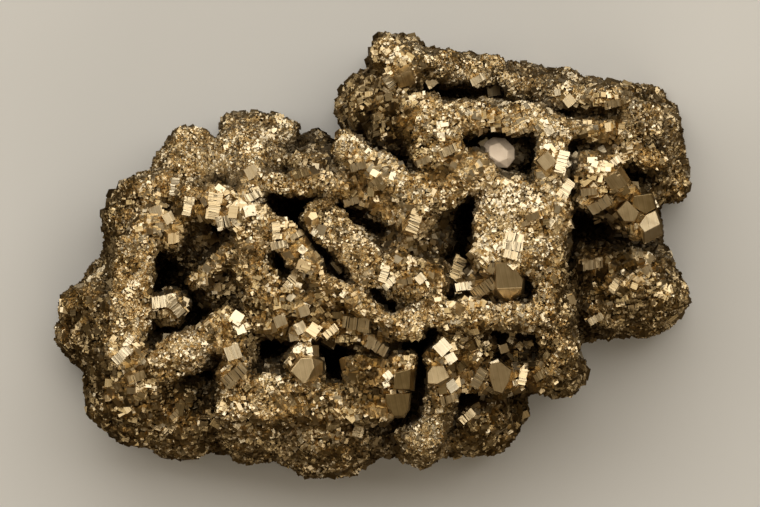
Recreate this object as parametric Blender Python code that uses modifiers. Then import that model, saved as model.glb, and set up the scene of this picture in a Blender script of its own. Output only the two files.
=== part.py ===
"""A pyrite specimen: thick crusted blades of pyrite that cross one another, with dark hollows between them and
larger crystals on them, all grown together in one solid. It lies on its back, where it is cut off flat.

Run it with blender --background --python part.py, or from Blender's text editor. The tables are in millimetres:
X to the right and Y up as the specimen is seen from above, Z up from the cut it lies on.
"""

import math
from itertools import product
from typing import NamedTuple

import bmesh
import bpy
from mathutils import Euler, Matrix, Vector, noise
from mathutils.bvhtree import BVHTree

MM = 0.001
NODE = "pyrite"

# Driving sizes, in millimetres.
ROOT_Z = -3.0  # blades and lumps run down to here, and the cut at Z = 0 takes off what is below it
VOXEL = 0.75  # the grain at which the blades and lumps fuse
BLADE_EDGE = 0.28  # how far a blade's edges are rounded off, as a share of its thickness
LUMP_WAVE, LUMP_HIGH = 5.5, 0.9  # the coarse relief of the crust: its wavelength and its height
GRAIN_WAVE, GRAIN_HIGH = 2.2, 0.35  # the fine relief on top of it
CLEFT_ROUND = 4.0  # how far a cleft's floor rises from its middle to its walls
SKIN_TRIANGLES = 6500  # of the fused blades, before the crystals join them
FEWER_TRIANGLES = 50  # taken off at each new try, where two walls touch in a cleft
TRIES = 8
RIDGE = 0.5  # of a pyritohedron: how high its ridges stand over the cube inside it, and how short they are
BAR_SIDES = (1.25, 0.62, 0.8)  # of a drawn-out crystal, as shares of its size
BLUNT = 0.13  # how much of a blunt cube its cut edges take, as a share of its size
HIGH_ABOVE = 200.0
TOUCH = 0.0015  # points closer than this count as one
MIDDLE_X, MIDDLE_Y = -0.37, 0.08  # the middle of the finished shape's box, which becomes the origin
BRASSY = (0.52, 0.42, 0.24, 1)
CRYSTAL_SITS = 0.12  # how far a crystal's middle stands above the crust, as a share of its size


class Blade(NamedTuple):
    """A plate that stands on edge. lean, in degrees, swings its root to the right of the way from start to end."""

    start: tuple
    end: tuple
    thick: float
    lean: float = 0.0
    root: float = ROOT_Z


class Lump(NamedTuple):
    """A rounded mass: its middle, its half-sizes, and its turn about Z in degrees."""

    middle: tuple
    radii: tuple
    turn: float = 0.0


class Cleft(NamedTuple):
    """A narrow gap that runs from start to end between two blades, open above and as deep as floor."""

    start: tuple
    end: tuple
    wide: float
    floor: float


class Crystal(NamedTuple):
    """A crystal seated on whatever lies under (x, y). turns are degrees about X, Y and Z, in that order."""

    x: float
    y: float
    size: float
    habit: str
    turns: tuple
    sits: float = CRYSTAL_SITS


BLADES = {
    # The west side: a long wall that turns in at its top, the brow above it and the bar that closes its lower end.
    "west_wall": Blade((-48, 4, 35), (-50, -22, 37), 8.2, 3),
    "west_turn": Blade((-49, 5, 34), (-38, 4.5, 34), 6),
    "west_brow": Blade((-51.5, 12.8, 25), (-41, 14, 31), 5.2),
    "west_bar": Blade((-46.5, -24.2, 36), (-27.5, -13.6, 40), 7.4),
    "pocket_rib": Blade((-36.8, -6.8, 31), (-28.5, 1.5, 36), 4),
    # The north-west slope.
    "brow_lip": Blade((-41, 12, 34), (-24.5, 8.8, 39), 7),
    "nw_comb": Blade((-36.5, 10, 35), (-35.6, 26, 20), 7.5),
    "nw_rim": Blade((-30.5, 25.2, 20), (-20, 26.2, 20), 4.5),
    "nw_fin": Blade((-24, 13, 37), (-17, 28.5, 20), 5.5),
    "north_ledge": Blade((-22.5, 14.3, 38), (-5.5, 14.6, 40), 4),
    # Long blades that run from the upper left to the lower right.
    "inner_wall": Blade((-25, 10.5, 41), (-22, -11, 40), 7.5),
    "long_blade": Blade((-22, 7, 43), (-11, -2.2, 44), 4.8, 4),
    "long_blade_tip": Blade((-12, -2.6, 44), (4, -13.5, 45), 4, 6),
    "broad_blade": Blade((-14, 9.4, 42), (0, -2.1, 46), 6.4, -4),
    "broad_blade_tip": Blade((-8, -0.2, 45), (14, -6.3, 45), 7.8, -4),
    "tip_flank": Blade((-1.5, -5.2, 42), (9.5, -8.6, 42), 3.6),
    "knob_blade": Blade((-8.5, 23.5, 42), (11, 10.5, 49), 6.2, 6),
    "knob_flank": Blade((-7.5, 17.5, 38), (8, 6.8, 46), 8, 5),
    # The upper middle.
    "cross_blade": Blade((8.5, 12.5, 46), (23.5, 17.8, 46), 8.5),
    "gable": Blade((8.3, 32.8, 39), (14.3, 18.5, 46), 9.5, 12),
    "high_bar": Blade((12, 28, 42), (34.5, 26.8, 42), 5),
    "back_ridge": Blade((9, 38, 28), (26, 36.2, 21), 5.8),
    "back_ridge_end": Blade((25, 34.8, 22), (38, 32.2, 26), 4.4),
    # The right middle.
    "bright_back": Blade((25.5, 17.2, 44), (23.6, -3.5, 46), 9),
    "middle_back": Blade((29, 14.5, 44), (30, -3, 47), 7),
    "east_back": Blade((34, 15, 43), (33.8, -5, 44), 8),
    "pillar": Blade((34.8, 28, 43), (35.4, 9, 45), 6),
    # The north-east lobe.
    "ne_rim": Blade((35, 31.8, 28), (49, 31.4, 32), 4.6),
    "ne_rim_end": Blade((47, 31.2, 31), (57.3, 27, 25), 4.4),
    "ne_bar": Blade((37, 25.6, 40), (58, 25.4, 30), 3.4),
    "ne_shelf": Blade((39.5, 19.1, 39), (58, 19.2, 31), 3.2),
    "east_flank": Blade((58, 27.5, 22), (60, 10.8, 19), 5.2),
    "ne_arm": Blade((42.5, 18, 42), (54.6, 5.2, 38), 7.2),
    "arm_seat": Blade((38.5, 14.8, 38), (47, 10.8, 39), 7),
    # The south-east lobe.
    "se_slope": Blade((41, -0.5, 29), (57.5, -3, 22), 6),
    "se_edge": Blade((57, -1.5, 20), (61.3, -9.5, 17), 5),
    "se_shelf": Blade((41.5, -9, 27), (58, -11, 22), 8),
    # The long bar across the lower middle and the foot at its right end.
    "bar_west": Blade((0.5, -14, 43), (17.5, -12.2, 47), 5.6),
    "bar_east": Blade((16, -12.4, 47), (36.5, -11.2, 44), 5.6),
    "foot": Blade((35.2, -9, 44), (37, -26.5, 38), 6, -3),
    "cube_ledge": Blade((-26, -11.3, 39), (-1, -13.3, 41), 9),
    # The lower middle.
    "row_ledge": Blade((17.5, -24, 37), (35, -24.2, 35), 5),
    "south_post": Blade((14.4, -15.5, 44), (13, -29, 40), 5.6),
    "post_shoulder": Blade((15.5, -18.3, 40), (23.5, -18, 39), 4.6),
    "toe": Blade((12.3, -27.5, 39), (8.6, -40.5, 33), 7.6),
    "block_top": Blade((-5.5, -24, 43), (8, -23.4, 45), 7.2),
    "block_face": Blade((-5, -29.4, 42), (6.2, -28.6, 43), 7.2),
    "centre_post": Blade((-15.6, -18.5, 42), (-13, -27, 42), 6.5),
    "centre_bank": Blade((-25, -28.5, 39), (-2, -29.5, 40), 8),
    "sw_post": Blade((-28, -17.5, 41), (-28.4, -33, 37), 7),
}

LUMPS = {
    # The root that carries every blade.
    "root_west": Lump((-34, -6, 0), (20, 28, 12)),
    "root_middle": Lump((0, -6, 0), (31, 30, 13)),
    "root_east": Lump((32, 5, 0), (26, 25, 12)),
    # The west end.
    "west_cheek": Lump((-48, 5, 14), (6.6, 10, 15)),
    "west_nose": Lump((-56.8, -10.8, 11), (6.5, 4.8, 9), 15),
    "west_jaw": Lump((-57.4, -15.8, 10), (6.8, 5.4, 9)),
    "west_side": Lump((-54, -13, 10), (6, 12, 17)),
    "sw_belly": Lump((-46.5, -25, 10), (11, 12.6, 26), -25),
    "sw_heel": Lump((-38.5, -30, 6), (12, 10, 24)),
    # The north-west slope and the small hump behind it.
    "nw_hump": Lump((-37, 15.5, 14), (7, 9.5, 15)),
    "nw_back": Lump((-25, 16.5, 16), (8.5, 10.5, 16)),
    "gap_fill": Lump((-12, 17, 17), (7, 5, 17)),
    "gap_hump": Lump((-11.5, 20, 8), (6, 4.4, 8)),
    # The peak and the dark lobe to its left.
    "peak": Lump((5, 39, 16), (5.8, 5, 16)),
    "peak_front": Lump((5.5, 35.5, 22), (5.2, 5, 12)),
    "peak_horn": Lump((2.8, 40.8, 18), (2.4, 2.8, 13)),
    "dark_lobe": Lump((-1.2, 29.8, 12), (5.9, 6.6, 19)),
    "lobe_fill": Lump((4, 26.5, 22), (6, 8, 17)),
    "back_floor": Lump((22, 33, 2), (17, 6, 13)),
    "back_corner": Lump((35.4, 29.4, 18), (3.4, 3.2, 9)),
    "nw_corner": Lump((-19.3, 23.4, 1), (3.6, 3.2, 6)),
    # Masses between the blades.
    "hollow_step": Lump((-31, -6, 12), (6.4, 6.2, 18.5)),
    "brow_fill": Lump((-43.5, 9.6, 18), (5.2, 4.2, 13)),
    "hollow_bridge": Lump((-41.5, -9.7, 29), (5, 2.9, 6)),
    "fan_bank": Lump((-11, -8.5, 28), (9, 4.6, 13)),
    "fan_seat": Lump((-15.5, -5.4, 34), (3.6, 3, 6.5)),
    "valley_fill": Lump((5.5, 2.4, 26), (8.5, 3.2, 15.5)),
    "valley_floor": Lump((11.5, 2, 22), (4, 5, 14)),
    "pale_seat": Lump((25, 21, 22), (8, 5, 12)),
    "crystal_seat": Lump((22, -5.5, 28), (10, 5, 14)),
    "knob_neck": Lump((34.6, -5, 36), (3.6, 4, 8)),
    "foot_knob": Lump((34.4, -8, 40), (3.2, 2.6, 5)),
    "foot_heel": Lump((38, -24.2, 18), (3.8, 3.5, 16)),
    "row_floor": Lump((28, -19, 20), (8, 6, 12.5)),
    "block_neck": Lump((-0.5, -17.5, 28), (4.6, 4, 13)),
    "groove_bank": Lump((-19.8, -24, 22), (4, 4.6, 14)),
    "ne_floor": Lump((46.5, 22.4, 19), (11.5, 8, 14.2)),
    # The lower edge.
    "south_belly": Lump((-10, -33, 6), (13, 10.8, 30)),
    "south_lip": Lump((-24.5, -31.5, 6), (11, 9.2, 28)),
    "south_notch": Lump((3, -33, 4), (6, 6.6, 15)),
    "toe_ball": Lump((9.5, -36.5, 15), (5.2, 5.6, 12)),
    "back_skirt": Lump((20.4, -31.8, 6), (9.8, 7.4, 22), 25),
    "se_body": Lump((49.5, -7, 9), (13, 8.8, 19), -5),
    "ne_body": Lump((52, 19, 12), (10.4, 10.6, 12)),
}

CLEFTS = {
    # Between the long blade and the broad blade beside it.
    "long_upper": Cleft((-17, 9.4), (-9.6, -0.8), 2.2, 29),
    "long_lower": Cleft((-9.4, -1.4), (3.8, -11.2), 2.2, 30),
    "wall_gap": Cleft((-20.2, 0.6), (-17.6, -4.4), 2.4, 31),
    # From the long bar down past the post.
    "post_upper": Cleft((11, -15.4), (9.3, -20.6), 3, 24),
    "post_middle": Cleft((9.2, -20), (8.1, -30), 3, 22),
    "post_lower": Cleft((8, -29.6), (3, -36), 4, 17),
    "corner_gap": Cleft((-31.6, -20.8), (-35.6, -30.4), 3.6, 24),
    # In the north-east lobe.
    "east_hollow": Cleft((51.5, 16), (57.2, 13.6), 4.4, 18),
    "rim_gap": Cleft((39.6, 29.2), (48.6, 28.8), 3, 26),
    # Pockets beside the gable.
    "gable_pocket": Cleft((4.2, 20.8), (8.4, 18), 2.4, 33),
}

CRYSTALS = [
    # The bright back and the hollow above it.
    Crystal(26.8, -4.9, 5.7, "blunt", (-20, 6, 8)),
    Crystal(21.8, -6.2, 3.9, "bar", (6, -10, 35)),
    Crystal(16.2, -2.6, 3.9, "bar", (4, 12, 65)),
    Crystal(17.6, -6.2, 2.8, "bar", (-10, 14, 10)),
    Crystal(27.4, 1.9, 3.2, "bar", (-3, 5, -8)),
    Crystal(25.2, 20.5, 6.6, "pyritohedron", (8, 4, 20)),
    Crystal(22.2, 22.4, 2, "cube", (-6, -10, 35)),
    Crystal(14.3, 21, 3, "bar", (6, 10, 25)),
    Crystal(9.4, 19, 2.4, "bar", (12, 16, 20)),
    Crystal(37.2, 18.8, 4, "bar", (-7, -7, 70)),
    Crystal(38, 13, 3.8, "bar", (-2, 12, 60)),
    Crystal(34, 19, 3, "cube", (7, 7, 40)),
    Crystal(31.5, 8, 2.4, "bar", (8, -12, 20)),
    # The north-east lobe.
    Crystal(48.3, 15.4, 3.4, "blunt", (12, -18, 30)),
    Crystal(47.6, 18.6, 2.6, "bar", (-1, 7, 35)),
    Crystal(50.6, 9.4, 4.4, "cube", (35, -30, 25)),
    Crystal(54.2, 5.8, 5.2, "cube", (38, -28, -20)),
    Crystal(54.3, 9.8, 2.8, "cube", (20, 40, 20)),
    Crystal(45, 10.4, 3.8, "bar", (7, -7, 30)),
    Crystal(42.5, 13, 2.6, "bar", (16, 12, 5)),
    Crystal(47.6, 30.6, 2.6, "bar", (6, -7, 10)),
    Crystal(38.6, 31, 2.2, "cube", (8, 14, 40)),
    # The south-east lobe.
    Crystal(43, -1.6, 3.4, "bar", (7, 21, 10)),
    Crystal(53.6, -3, 2.8, "bar", (11, 14, 25)),
    Crystal(47.6, -6, 2.6, "bar", (16, 20, 60)),
    Crystal(44, -12.6, 2.6, "bar", (8, 10, 30)),
    Crystal(38.8, -8.8, 2.4, "cube", (5, 12, 20)),
    # The post under the long bar, and the row of crystals beside it.
    Crystal(13.6, -18.4, 2.9, "cube", (-17, 3, 42)),
    Crystal(15.1, -20.5, 2.0, "cube", (-14, 8, 30)),
    Crystal(12.3, -23.4, 4.8, "blunt", (14, -10, -20)),
    Crystal(17.0, -21.8, 2.8, "bar", (20, 30, 45)),
    Crystal(14.4, -28.4, 2.8, "bar", (14, 16, 15)),
    Crystal(18.3, -32.2, 2.8, "bar", (6, 10, 40)),
    Crystal(21, -24.2, 3.4, "bar", (-7, -15, 60)),
    Crystal(25.3, -24.2, 5.2, "bar", (20, -30, 85)),
    Crystal(29.4, -24.4, 2.8, "bar", (-3, 12, 80)),
    Crystal(33, -23.6, 2.8, "bar", (14, 14, 30)),
    Crystal(25.6, -18.4, 2.4, "cube", (10, 8, 20)),
    Crystal(28.8, -18, 2.2, "cube", (8, 14, 50)),
    # The block west of the post.
    Crystal(4.7, -23.8, 5.2, "cube", (-24, 24, -18)),
    Crystal(3.3, -29.4, 4.7, "blunt", (22, -18, -12)),
    Crystal(4.2, -18.7, 3, "bar", (14, 7, 80)),
    Crystal(-3.4, -34, 3.6, "bar", (10, 7, 75)),
    Crystal(0.2, -18, 4.4, "bar", (3, 8, -28)),
    Crystal(-3.6, -13.4, 4.6, "bar", (7, -7, -8)),
    Crystal(-13.5, -22.5, 6.2, "blunt", (-14, 10, -30)),
    # The lower west.
    Crystal(-28.5, -19.3, 3, "cube", (0, 8, 20)),
    Crystal(-27.8, -23.6, 4.2, "bar", (0, -10, 40)),
    Crystal(-50.6, -19.8, 3.4, "bar", (0, 7, 42)),
    Crystal(-48, -24, 3, "bar", (18, 14, 20)),
    Crystal(-40, -31.6, 2.6, "bar", (16, 14, 45)),
    Crystal(-27.4, -12.6, 2.5, "cube", (-17, 6, 55)),
    Crystal(-42.5, -9.2, 4, "bar", (-4, 14, 10)),
    Crystal(-39.8, -10, 3.6, "bar", (7, -7, -50)),
    # The cubes under the long blades.
    Crystal(-19.1, -12.9, 2.6, "cube", (-1, 8, 20)),
    Crystal(-15, -14.4, 2.3, "cube", (2, 8, 30)),
    Crystal(-12.3, -14.9, 2.4, "cube", (-3, 12, 55)),
    Crystal(-16.3, -16, 2, "cube", (3, 8, 10)),
    Crystal(-9, -15.2, 2.6, "bar", (1, 12, 40)),
    # The long blades.
    Crystal(-19.6, 5, 2.8, "bar", (-1, 6, 95)),
    Crystal(-19.2, 2.2, 2.6, "bar", (0, 5, 12)),
    Crystal(-15.8, 4.2, 2.2, "bar", (8, 8, 30)),
    Crystal(-16.4, -4.8, 3.8, "bar", (5, 7, 50)),
    Crystal(-7.2, -1.6, 2.8, "blunt", (4, 7, 40)),
    Crystal(-12.6, 7.6, 3, "pyritohedron", (20, 20, 30)),
    Crystal(2.8, -5.4, 2.6, "bar", (-1, 10, 40)),
    Crystal(5.8, -5, 2.4, "bar", (12, 8, 10)),
    Crystal(-3.2, 18, 2.6, "bar", (5, -10, 15)),
    Crystal(0.2, 15, 2.3, "bar", (6, -8, 35)),
    Crystal(-4.6, 11, 2.5, "bar", (7, -10, 15)),
    Crystal(7.6, 7, 4.2, "bar", (12, 10, 70)),
    # The north-west slope and the brow.
    Crystal(-32.2, 9.8, 4.2, "bar", (0, 7, 82)),
    Crystal(-29, 7, 4, "bar", (-2, -7, 15)),
    Crystal(-44, 8.8, 2.8, "cube", (1, 7, 20)),
    Crystal(-24.4, 12, 2.8, "bar", (2, 8, 30)),
    Crystal(-37.6, 9.8, 3, "bar", (9, 7, 80)),
    # The peak.
    Crystal(6.1, 36, 3.3, "blunt", (25, -10, 15)),
    Crystal(3, 34.4, 3.2, "bar", (-6, 14, -55)),
    Crystal(20.4, 35.4, 2.6, "bar", (6, 14, 30)),
]


def rounded_box(bm, matrix, size, edge):
    """Adds a box of that size, in millimetres, with its edges rounded off by edge."""
    made = bmesh.ops.create_cube(bm, size=1.0, matrix=matrix @ Matrix.Diagonal((*size, 1)))
    edges = {e for v in made["verts"] for e in v.link_edges}
    bmesh.ops.bevel(bm, geom=list(edges), offset=edge, segments=2, profile=0.5, affect="EDGES")


def add_blade(bm, blade):
    start, end = Vector(blade.start), Vector(blade.end)
    along = (end - start).normalized()
    side = along.cross(Vector((0, 0, 1))).normalized()
    side = Matrix.Rotation(math.radians(-blade.lean), 3, along) @ side
    up = side.cross(along)
    deep = (start.z + end.z) / 2 - blade.root
    middle = (start + end) / 2 - up * deep / 2
    turn = Matrix((along, -side, up)).transposed().to_4x4()
    size = ((end - start).length, blade.thick, deep)
    rounded_box(bm, Matrix.Translation(middle) @ turn, size, BLADE_EDGE * blade.thick)


def add_lump(bm, lump):
    turn = Matrix.Rotation(math.radians(lump.turn), 4, "Z")
    matrix = Matrix.Translation(lump.middle) @ turn @ Matrix.Diagonal((*lump.radii, 1))
    bmesh.ops.create_icosphere(bm, subdivisions=4, radius=1.0, matrix=matrix)


def pyritohedron_points():
    """The corners of a pyritohedron: a cube's eight, and the ends of a ridge above each of the cube's faces."""
    points = [Vector(p) for p in product((-1, 1), repeat=3)]
    for ridge, side in product((-1, 1), repeat=2):
        end, rise = side * (1 - RIDGE * RIDGE), ridge * (1 + RIDGE)
        points += [Vector((0, rise, end)), Vector((rise, end, 0)), Vector((end, 0, rise))]
    return points


def add_crystal(bm, crystal, seat):
    """Adds a crystal with its middle at seat."""
    turn = Euler([math.radians(t) for t in crystal.turns]).to_matrix().to_4x4()
    matrix = Matrix.Translation(seat) @ turn
    if crystal.habit == "pyritohedron":
        matrix = matrix @ Matrix.Scale(crystal.size / (2 + 2 * RIDGE), 4)
        verts = [bm.verts.new(matrix @ p) for p in pyritohedron_points()]
        bmesh.ops.convex_hull(bm, input=verts)
        return
    sides = BAR_SIDES if crystal.habit == "bar" else (1, 1, 1)
    box = Matrix.Diagonal((*(crystal.size * s for s in sides), 1))
    made = bmesh.ops.create_cube(bm, size=1.0, matrix=matrix @ box)
    if crystal.habit == "blunt":
        edges = {e for v in made["verts"] for e in v.link_edges}
        bmesh.ops.bevel(bm, geom=list(edges), offset=BLUNT * crystal.size, segments=1, affect="EDGES")


def new_object(name, bm, collection):
    mesh = bpy.data.meshes.new(name)
    bm.to_mesh(mesh)
    bm.free()
    obj = bpy.data.objects.new(name, mesh)
    collection.objects.link(obj)
    return obj


def bake_modifiers(obj):
    """Makes the object's evaluated shape its own mesh and drops the modifiers."""
    graph = bpy.context.evaluated_depsgraph_get()
    shape = bpy.data.meshes.new_from_object(obj.evaluated_get(graph))
    obj.modifiers.clear()
    obj.data = shape


def fuse(obj):
    """Turns whatever the object's surfaces enclose into one skin."""
    remesh = obj.modifiers.new("fuse", "REMESH")
    remesh.mode = "VOXEL"
    remesh.voxel_size = VOXEL
    bake_modifiers(obj)


def keep_outer_skin(bm):
    """Deletes every closed pocket inside the skin, so that only its largest surface stays."""
    left = set(bm.verts)
    skins = []
    while left:
        skin, front = set(), [left.pop()]
        while front:
            vert = front.pop()
            skin.add(vert)
            near = {e.other_vert(vert) for e in vert.link_edges} & left
            left -= near
            front.extend(near)
        skins.append(skin)
    skins.sort(key=len)
    for skin in skins[:-1]:
        bmesh.ops.delete(bm, geom=list(skin), context="VERTS")


def roughen(bm):
    """Moves each point of the skin along its normal by the crust's relief."""
    bm.normal_update()
    moves = []
    for vert in bm.verts:
        coarse = noise.noise(vert.co / LUMP_WAVE) * LUMP_HIGH
        fine = noise.noise(vert.co / GRAIN_WAVE + Vector((7, 3, 5))) * GRAIN_HIGH
        moves.append(vert.normal * (coarse + fine) * 2)
    for vert, move in zip(bm.verts, moves):
        vert.co += move


def sink_clefts(bm):
    """Lowers each point that lies over a cleft to the cleft's floor, which rises towards its walls."""
    for cleft in CLEFTS.values():
        start, end = Vector(cleft.start), Vector(cleft.end)
        along = end - start
        for vert in bm.verts:
            place = vert.co.xy
            share = min(max((place - start).dot(along) / along.length_squared, 0), 1)
            off = (place - start - along * share).length / (cleft.wide / 2)
            if off < 1:
                vert.co.z = min(vert.co.z, cleft.floor + CLEFT_ROUND * off * off)


def fused_skin(collection):
    """The blades and lumps as one fine skin, in metres."""
    bm = bmesh.new()
    for blade in BLADES.values():
        add_blade(bm, blade)
    for lump in LUMPS.values():
        add_lump(bm, lump)
    skin = new_object(NODE, bm, collection)
    fuse(skin)
    bm = bmesh.new()
    bm.from_mesh(skin.data)
    sink_clefts(bm)
    roughen(bm)
    bm.to_mesh(skin.data)
    bm.free()
    fuse(skin)

    bm = bmesh.new()
    bm.from_mesh(skin.data)
    keep_outer_skin(bm)
    bmesh.ops.triangulate(bm, faces=bm.faces)
    bmesh.ops.scale(bm, vec=(MM, MM, MM), verts=bm.verts)
    bm.to_mesh(skin.data)
    bm.free()
    return skin


def facet(skin, triangles):
    """Brings the skin down to about that many triangles."""
    facets = skin.modifiers.new("facets", "DECIMATE")
    facets.ratio = triangles / len(skin.data.polygons)
    bake_modifiers(skin)


def crystal_guides(skin, guides):
    """Makes every crystal an object of its own, with its middle close above the skin first met from above."""
    bm = bmesh.new()
    bm.from_mesh(skin.data)
    tree = BVHTree.FromBMesh(bm)
    bm.free()
    for number, crystal in enumerate(CRYSTALS):
        above = Vector((crystal.x, crystal.y, HIGH_ABOVE)) * MM
        ground = tree.ray_cast(above, Vector((0, 0, -1)))[0] / MM
        bm = bmesh.new()
        add_crystal(bm, crystal, ground + Vector((0, 0, crystal.sits * crystal.size)))
        bmesh.ops.scale(bm, vec=(MM, MM, MM), verts=bm.verts)
        bmesh.ops.recalc_face_normals(bm, faces=bm.faces)
        guide = new_object(f"crystal_{number:02d}", bm, guides)
        guide.hide_render = True
        guide.display_type = "WIRE"


def join_crystals(skin, guides):
    join = skin.modifiers.new("crystals", "BOOLEAN")
    join.operation = "UNION"
    join.operand_type = "COLLECTION"
    join.collection = guides
    join.solver = "EXACT"
    bake_modifiers(skin)


def cut_flat(obj):
    """Takes off what is below Z = 0 and closes the cut."""
    bm = bmesh.new()
    bm.from_mesh(obj.data)
    everything = list(bm.verts) + list(bm.edges) + list(bm.faces)
    cut = bmesh.ops.bisect_plane(bm, geom=everything, plane_co=(0, 0, 0), plane_no=(0, 0, 1), clear_inner=True)
    rim = [e for e in cut["geom_cut"] if isinstance(e, bmesh.types.BMEdge)]
    bmesh.ops.triangle_fill(bm, use_beauty=True, edges=rim, normal=(0, 0, -1))
    bm.to_mesh(obj.data)
    bm.free()


def is_sound(obj):
    """Whether every edge has two faces, which tells a solid from one whose walls touch in a narrow cleft."""
    bm = bmesh.new()
    bm.from_mesh(obj.data)
    bmesh.ops.remove_doubles(bm, verts=bm.verts, dist=TOUCH * MM)
    sound = all(edge.is_manifold for edge in bm.edges)
    bm.free()
    return sound


def pyrite_material():
    material = bpy.data.materials.new("pyrite")
    material.use_nodes = True
    shader = material.node_tree.nodes["Principled BSDF"]
    shader.inputs["Base Color"].default_value = BRASSY
    shader.inputs["Metallic"].default_value = 1.0
    shader.inputs["Roughness"].default_value = 0.38
    return material


def main():
    for obj in list(bpy.data.objects):
        bpy.data.objects.remove(obj)
    collection = bpy.data.collections.new("pyrite_specimen")
    guides = bpy.data.collections.new("crystal_guides")
    guides.hide_render = True
    for group in (collection, guides):
        bpy.context.scene.collection.children.link(group)

    specimen = fused_skin(collection)
    crystal_guides(specimen, guides)
    fine = specimen.data
    for attempt in range(TRIES):
        specimen.data = fine.copy()
        facet(specimen, SKIN_TRIANGLES - attempt * FEWER_TRIANGLES)
        join_crystals(specimen, guides)
        cut_flat(specimen)
        if is_sound(specimen):
            break
    specimen.data.transform(Matrix.Translation((-MIDDLE_X * MM, -MIDDLE_Y * MM, 0)))
    specimen.data.materials.clear()
    specimen.data.materials.append(pyrite_material())


main()
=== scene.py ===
"""The looks of a pyrite specimen: thick crusted blades that cross one another, as it lies on its cut.

Every surface is real shape: the skin of the fused blades, a druse of tens of thousands of small crystals
grown on it, and larger crystals with the ledges that their growth left. Lengths are in millimetres until
the meshes are made, and MIDDLE_X and MIDDLE_Y carry the tables' origin to the frame's.
"""

import math
from itertools import product
from typing import NamedTuple

import bmesh
import bpy
import numpy as np
from mathutils import Euler, Matrix, Vector, noise
from mathutils.bvhtree import BVHTree
from mathutils.kdtree import KDTree


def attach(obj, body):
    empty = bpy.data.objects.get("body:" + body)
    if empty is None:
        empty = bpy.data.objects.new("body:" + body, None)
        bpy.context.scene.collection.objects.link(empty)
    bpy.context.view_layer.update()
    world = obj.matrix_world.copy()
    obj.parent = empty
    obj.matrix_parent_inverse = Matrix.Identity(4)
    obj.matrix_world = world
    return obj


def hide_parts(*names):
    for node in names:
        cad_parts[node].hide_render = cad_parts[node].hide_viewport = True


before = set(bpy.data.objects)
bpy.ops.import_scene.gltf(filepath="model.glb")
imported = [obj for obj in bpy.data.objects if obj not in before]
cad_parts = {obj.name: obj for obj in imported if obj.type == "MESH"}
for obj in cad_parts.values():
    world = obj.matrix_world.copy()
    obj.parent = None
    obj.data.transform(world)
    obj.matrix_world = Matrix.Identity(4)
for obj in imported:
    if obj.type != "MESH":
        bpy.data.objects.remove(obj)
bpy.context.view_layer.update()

MM = 0.001
NODE = "pyrite"
BODY = "root"
SEED = 7

# The skin of blades and lumps.
MIDDLE_X, MIDDLE_Y = -0.37, 0.08
ROOT_Z = -3.0
VOXEL = 0.75
BLADE_EDGE = 0.28
LUMP_WAVE, LUMP_HIGH = 5.5, 0.9
GRAIN_WAVE, GRAIN_HIGH = 2.2, 0.35
GRAIN_AWAY = (7, 3, 5)  # where the fine relief starts in the noise
CLEFT_ROUND = 4.0
NEAR_CUT = 0.01  # what lies lower than this belongs to the flat cut
SKIN_SUNK = 0.6  # how far the skin lies below the solid's surface, so that the druse ends close to that
SKIN_TRIANGLES = 70000
# The skin shows only between the crystals, and its darker tone there is painted shade.
SKIN_TONE = -0.35

# The larger crystals. Sizes and tilts are shares of a crystal's own size, or radians.
RIDGE = 0.5
BAR_SIDES = (1.25, 0.62, 0.8)
CUBE_SIDES = (1.0, 1.0, 1.0)
CRYSTAL_SITS = 0.12
CLEAR = 0.44  # no small crystal has its middle this near to a larger one's
SLAB = 0.32  # millimetres: the thickness of a striated crystal's slabs, and half that of a plain one's
LEAST_SLABS = 4
SLAB_UNEVEN = 0.35  # how far a slab's edge may lie from its even place, in slabs
SLAB_INSET = 0.05
SLAB_OVERLAP = 0.003
BAR_TILT, CUBE_TILT, GROWN_TILT = 0.05, 0.008, 0.01
GROWN_SIDES = (0.2, 0.42)
GROWN_OUT = 0.06
MUCH_GROWN_FROM = 3  # millimetres: from this size on, a crystal has one more block grown out of it
SLAB_TONE = 0.06
OPEN_SHARE = 0.5  # a larger crystal stands out, so it is only this much as shut in as its seat

# The blocks, in millimetres.
HIGH_ABOVE = 200.0
EDGE_WORN = 0.07
FACET_FLAT = 0.06  # radians: facets that meet flatter than this are one
BLOCK_SITS = 0.8
BLOCK_CLEAR = 2.5
BLOCK_LINES_SLANT = 0.2

# The druse.
FINE_GRAIN = 0.52
SIDE_GRAIN = 1.3
SIDE_FROM, SIDE_OVER = 1.5, 3.0  # this far under the skin's top walls grow coarser, and over this far
GRAIN_SPREAD = 0.24
MOST_GRAIN = 1.8
SIDE_SPREAD = 0.32
LEAST_DRAWN, MOST_DRAWN = -0.7, 0.42  # a side is e to between these times the crystal's size
OFF_CUT = 0.35  # of its size: no crystal's seat lies nearer to the cut
GRAIN_SPACING = 0.7
ROOM_REACH = 1.3  # of a crystal's room: how far around it others are looked for
GRAIN_SITS = (-0.55, -0.12)
HEAP_WAVE, HEAP_HIGH = 2.6, 0.7  # the druse's own relief
GRAIN_TONE, PATCH_TONE = 0.46, 0.14
TONES = (-1, 0.9)  # the lowest and the highest tone of the druse, its painted light and shade included
KEY_LIGHT_WAY = (0.1, 0.55, 0.83)  # painted light and shade by how far a slope faces the key light
SLOPE_TONE, SLOPE_USUAL = 0.5, 0.45
CANDIDATES = 900000
PATCHES = 2600
IN_STEP = 0.6  # the share of grains that lie the same way as their patch
OUT_OF_STEP = 0.035  # how far those stray from it
DRUSE_PIECES = 5
LINES_APART = 37.0  # how far apart in the stripes' noise crystals of tone 0 and 1 start

# The facets that make the finest crystals glitter.
FACET = 0.45
FACET_TILT = 0.5
SUGARY_TO, CLEAN_FROM = 1.0, 1.9
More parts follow.
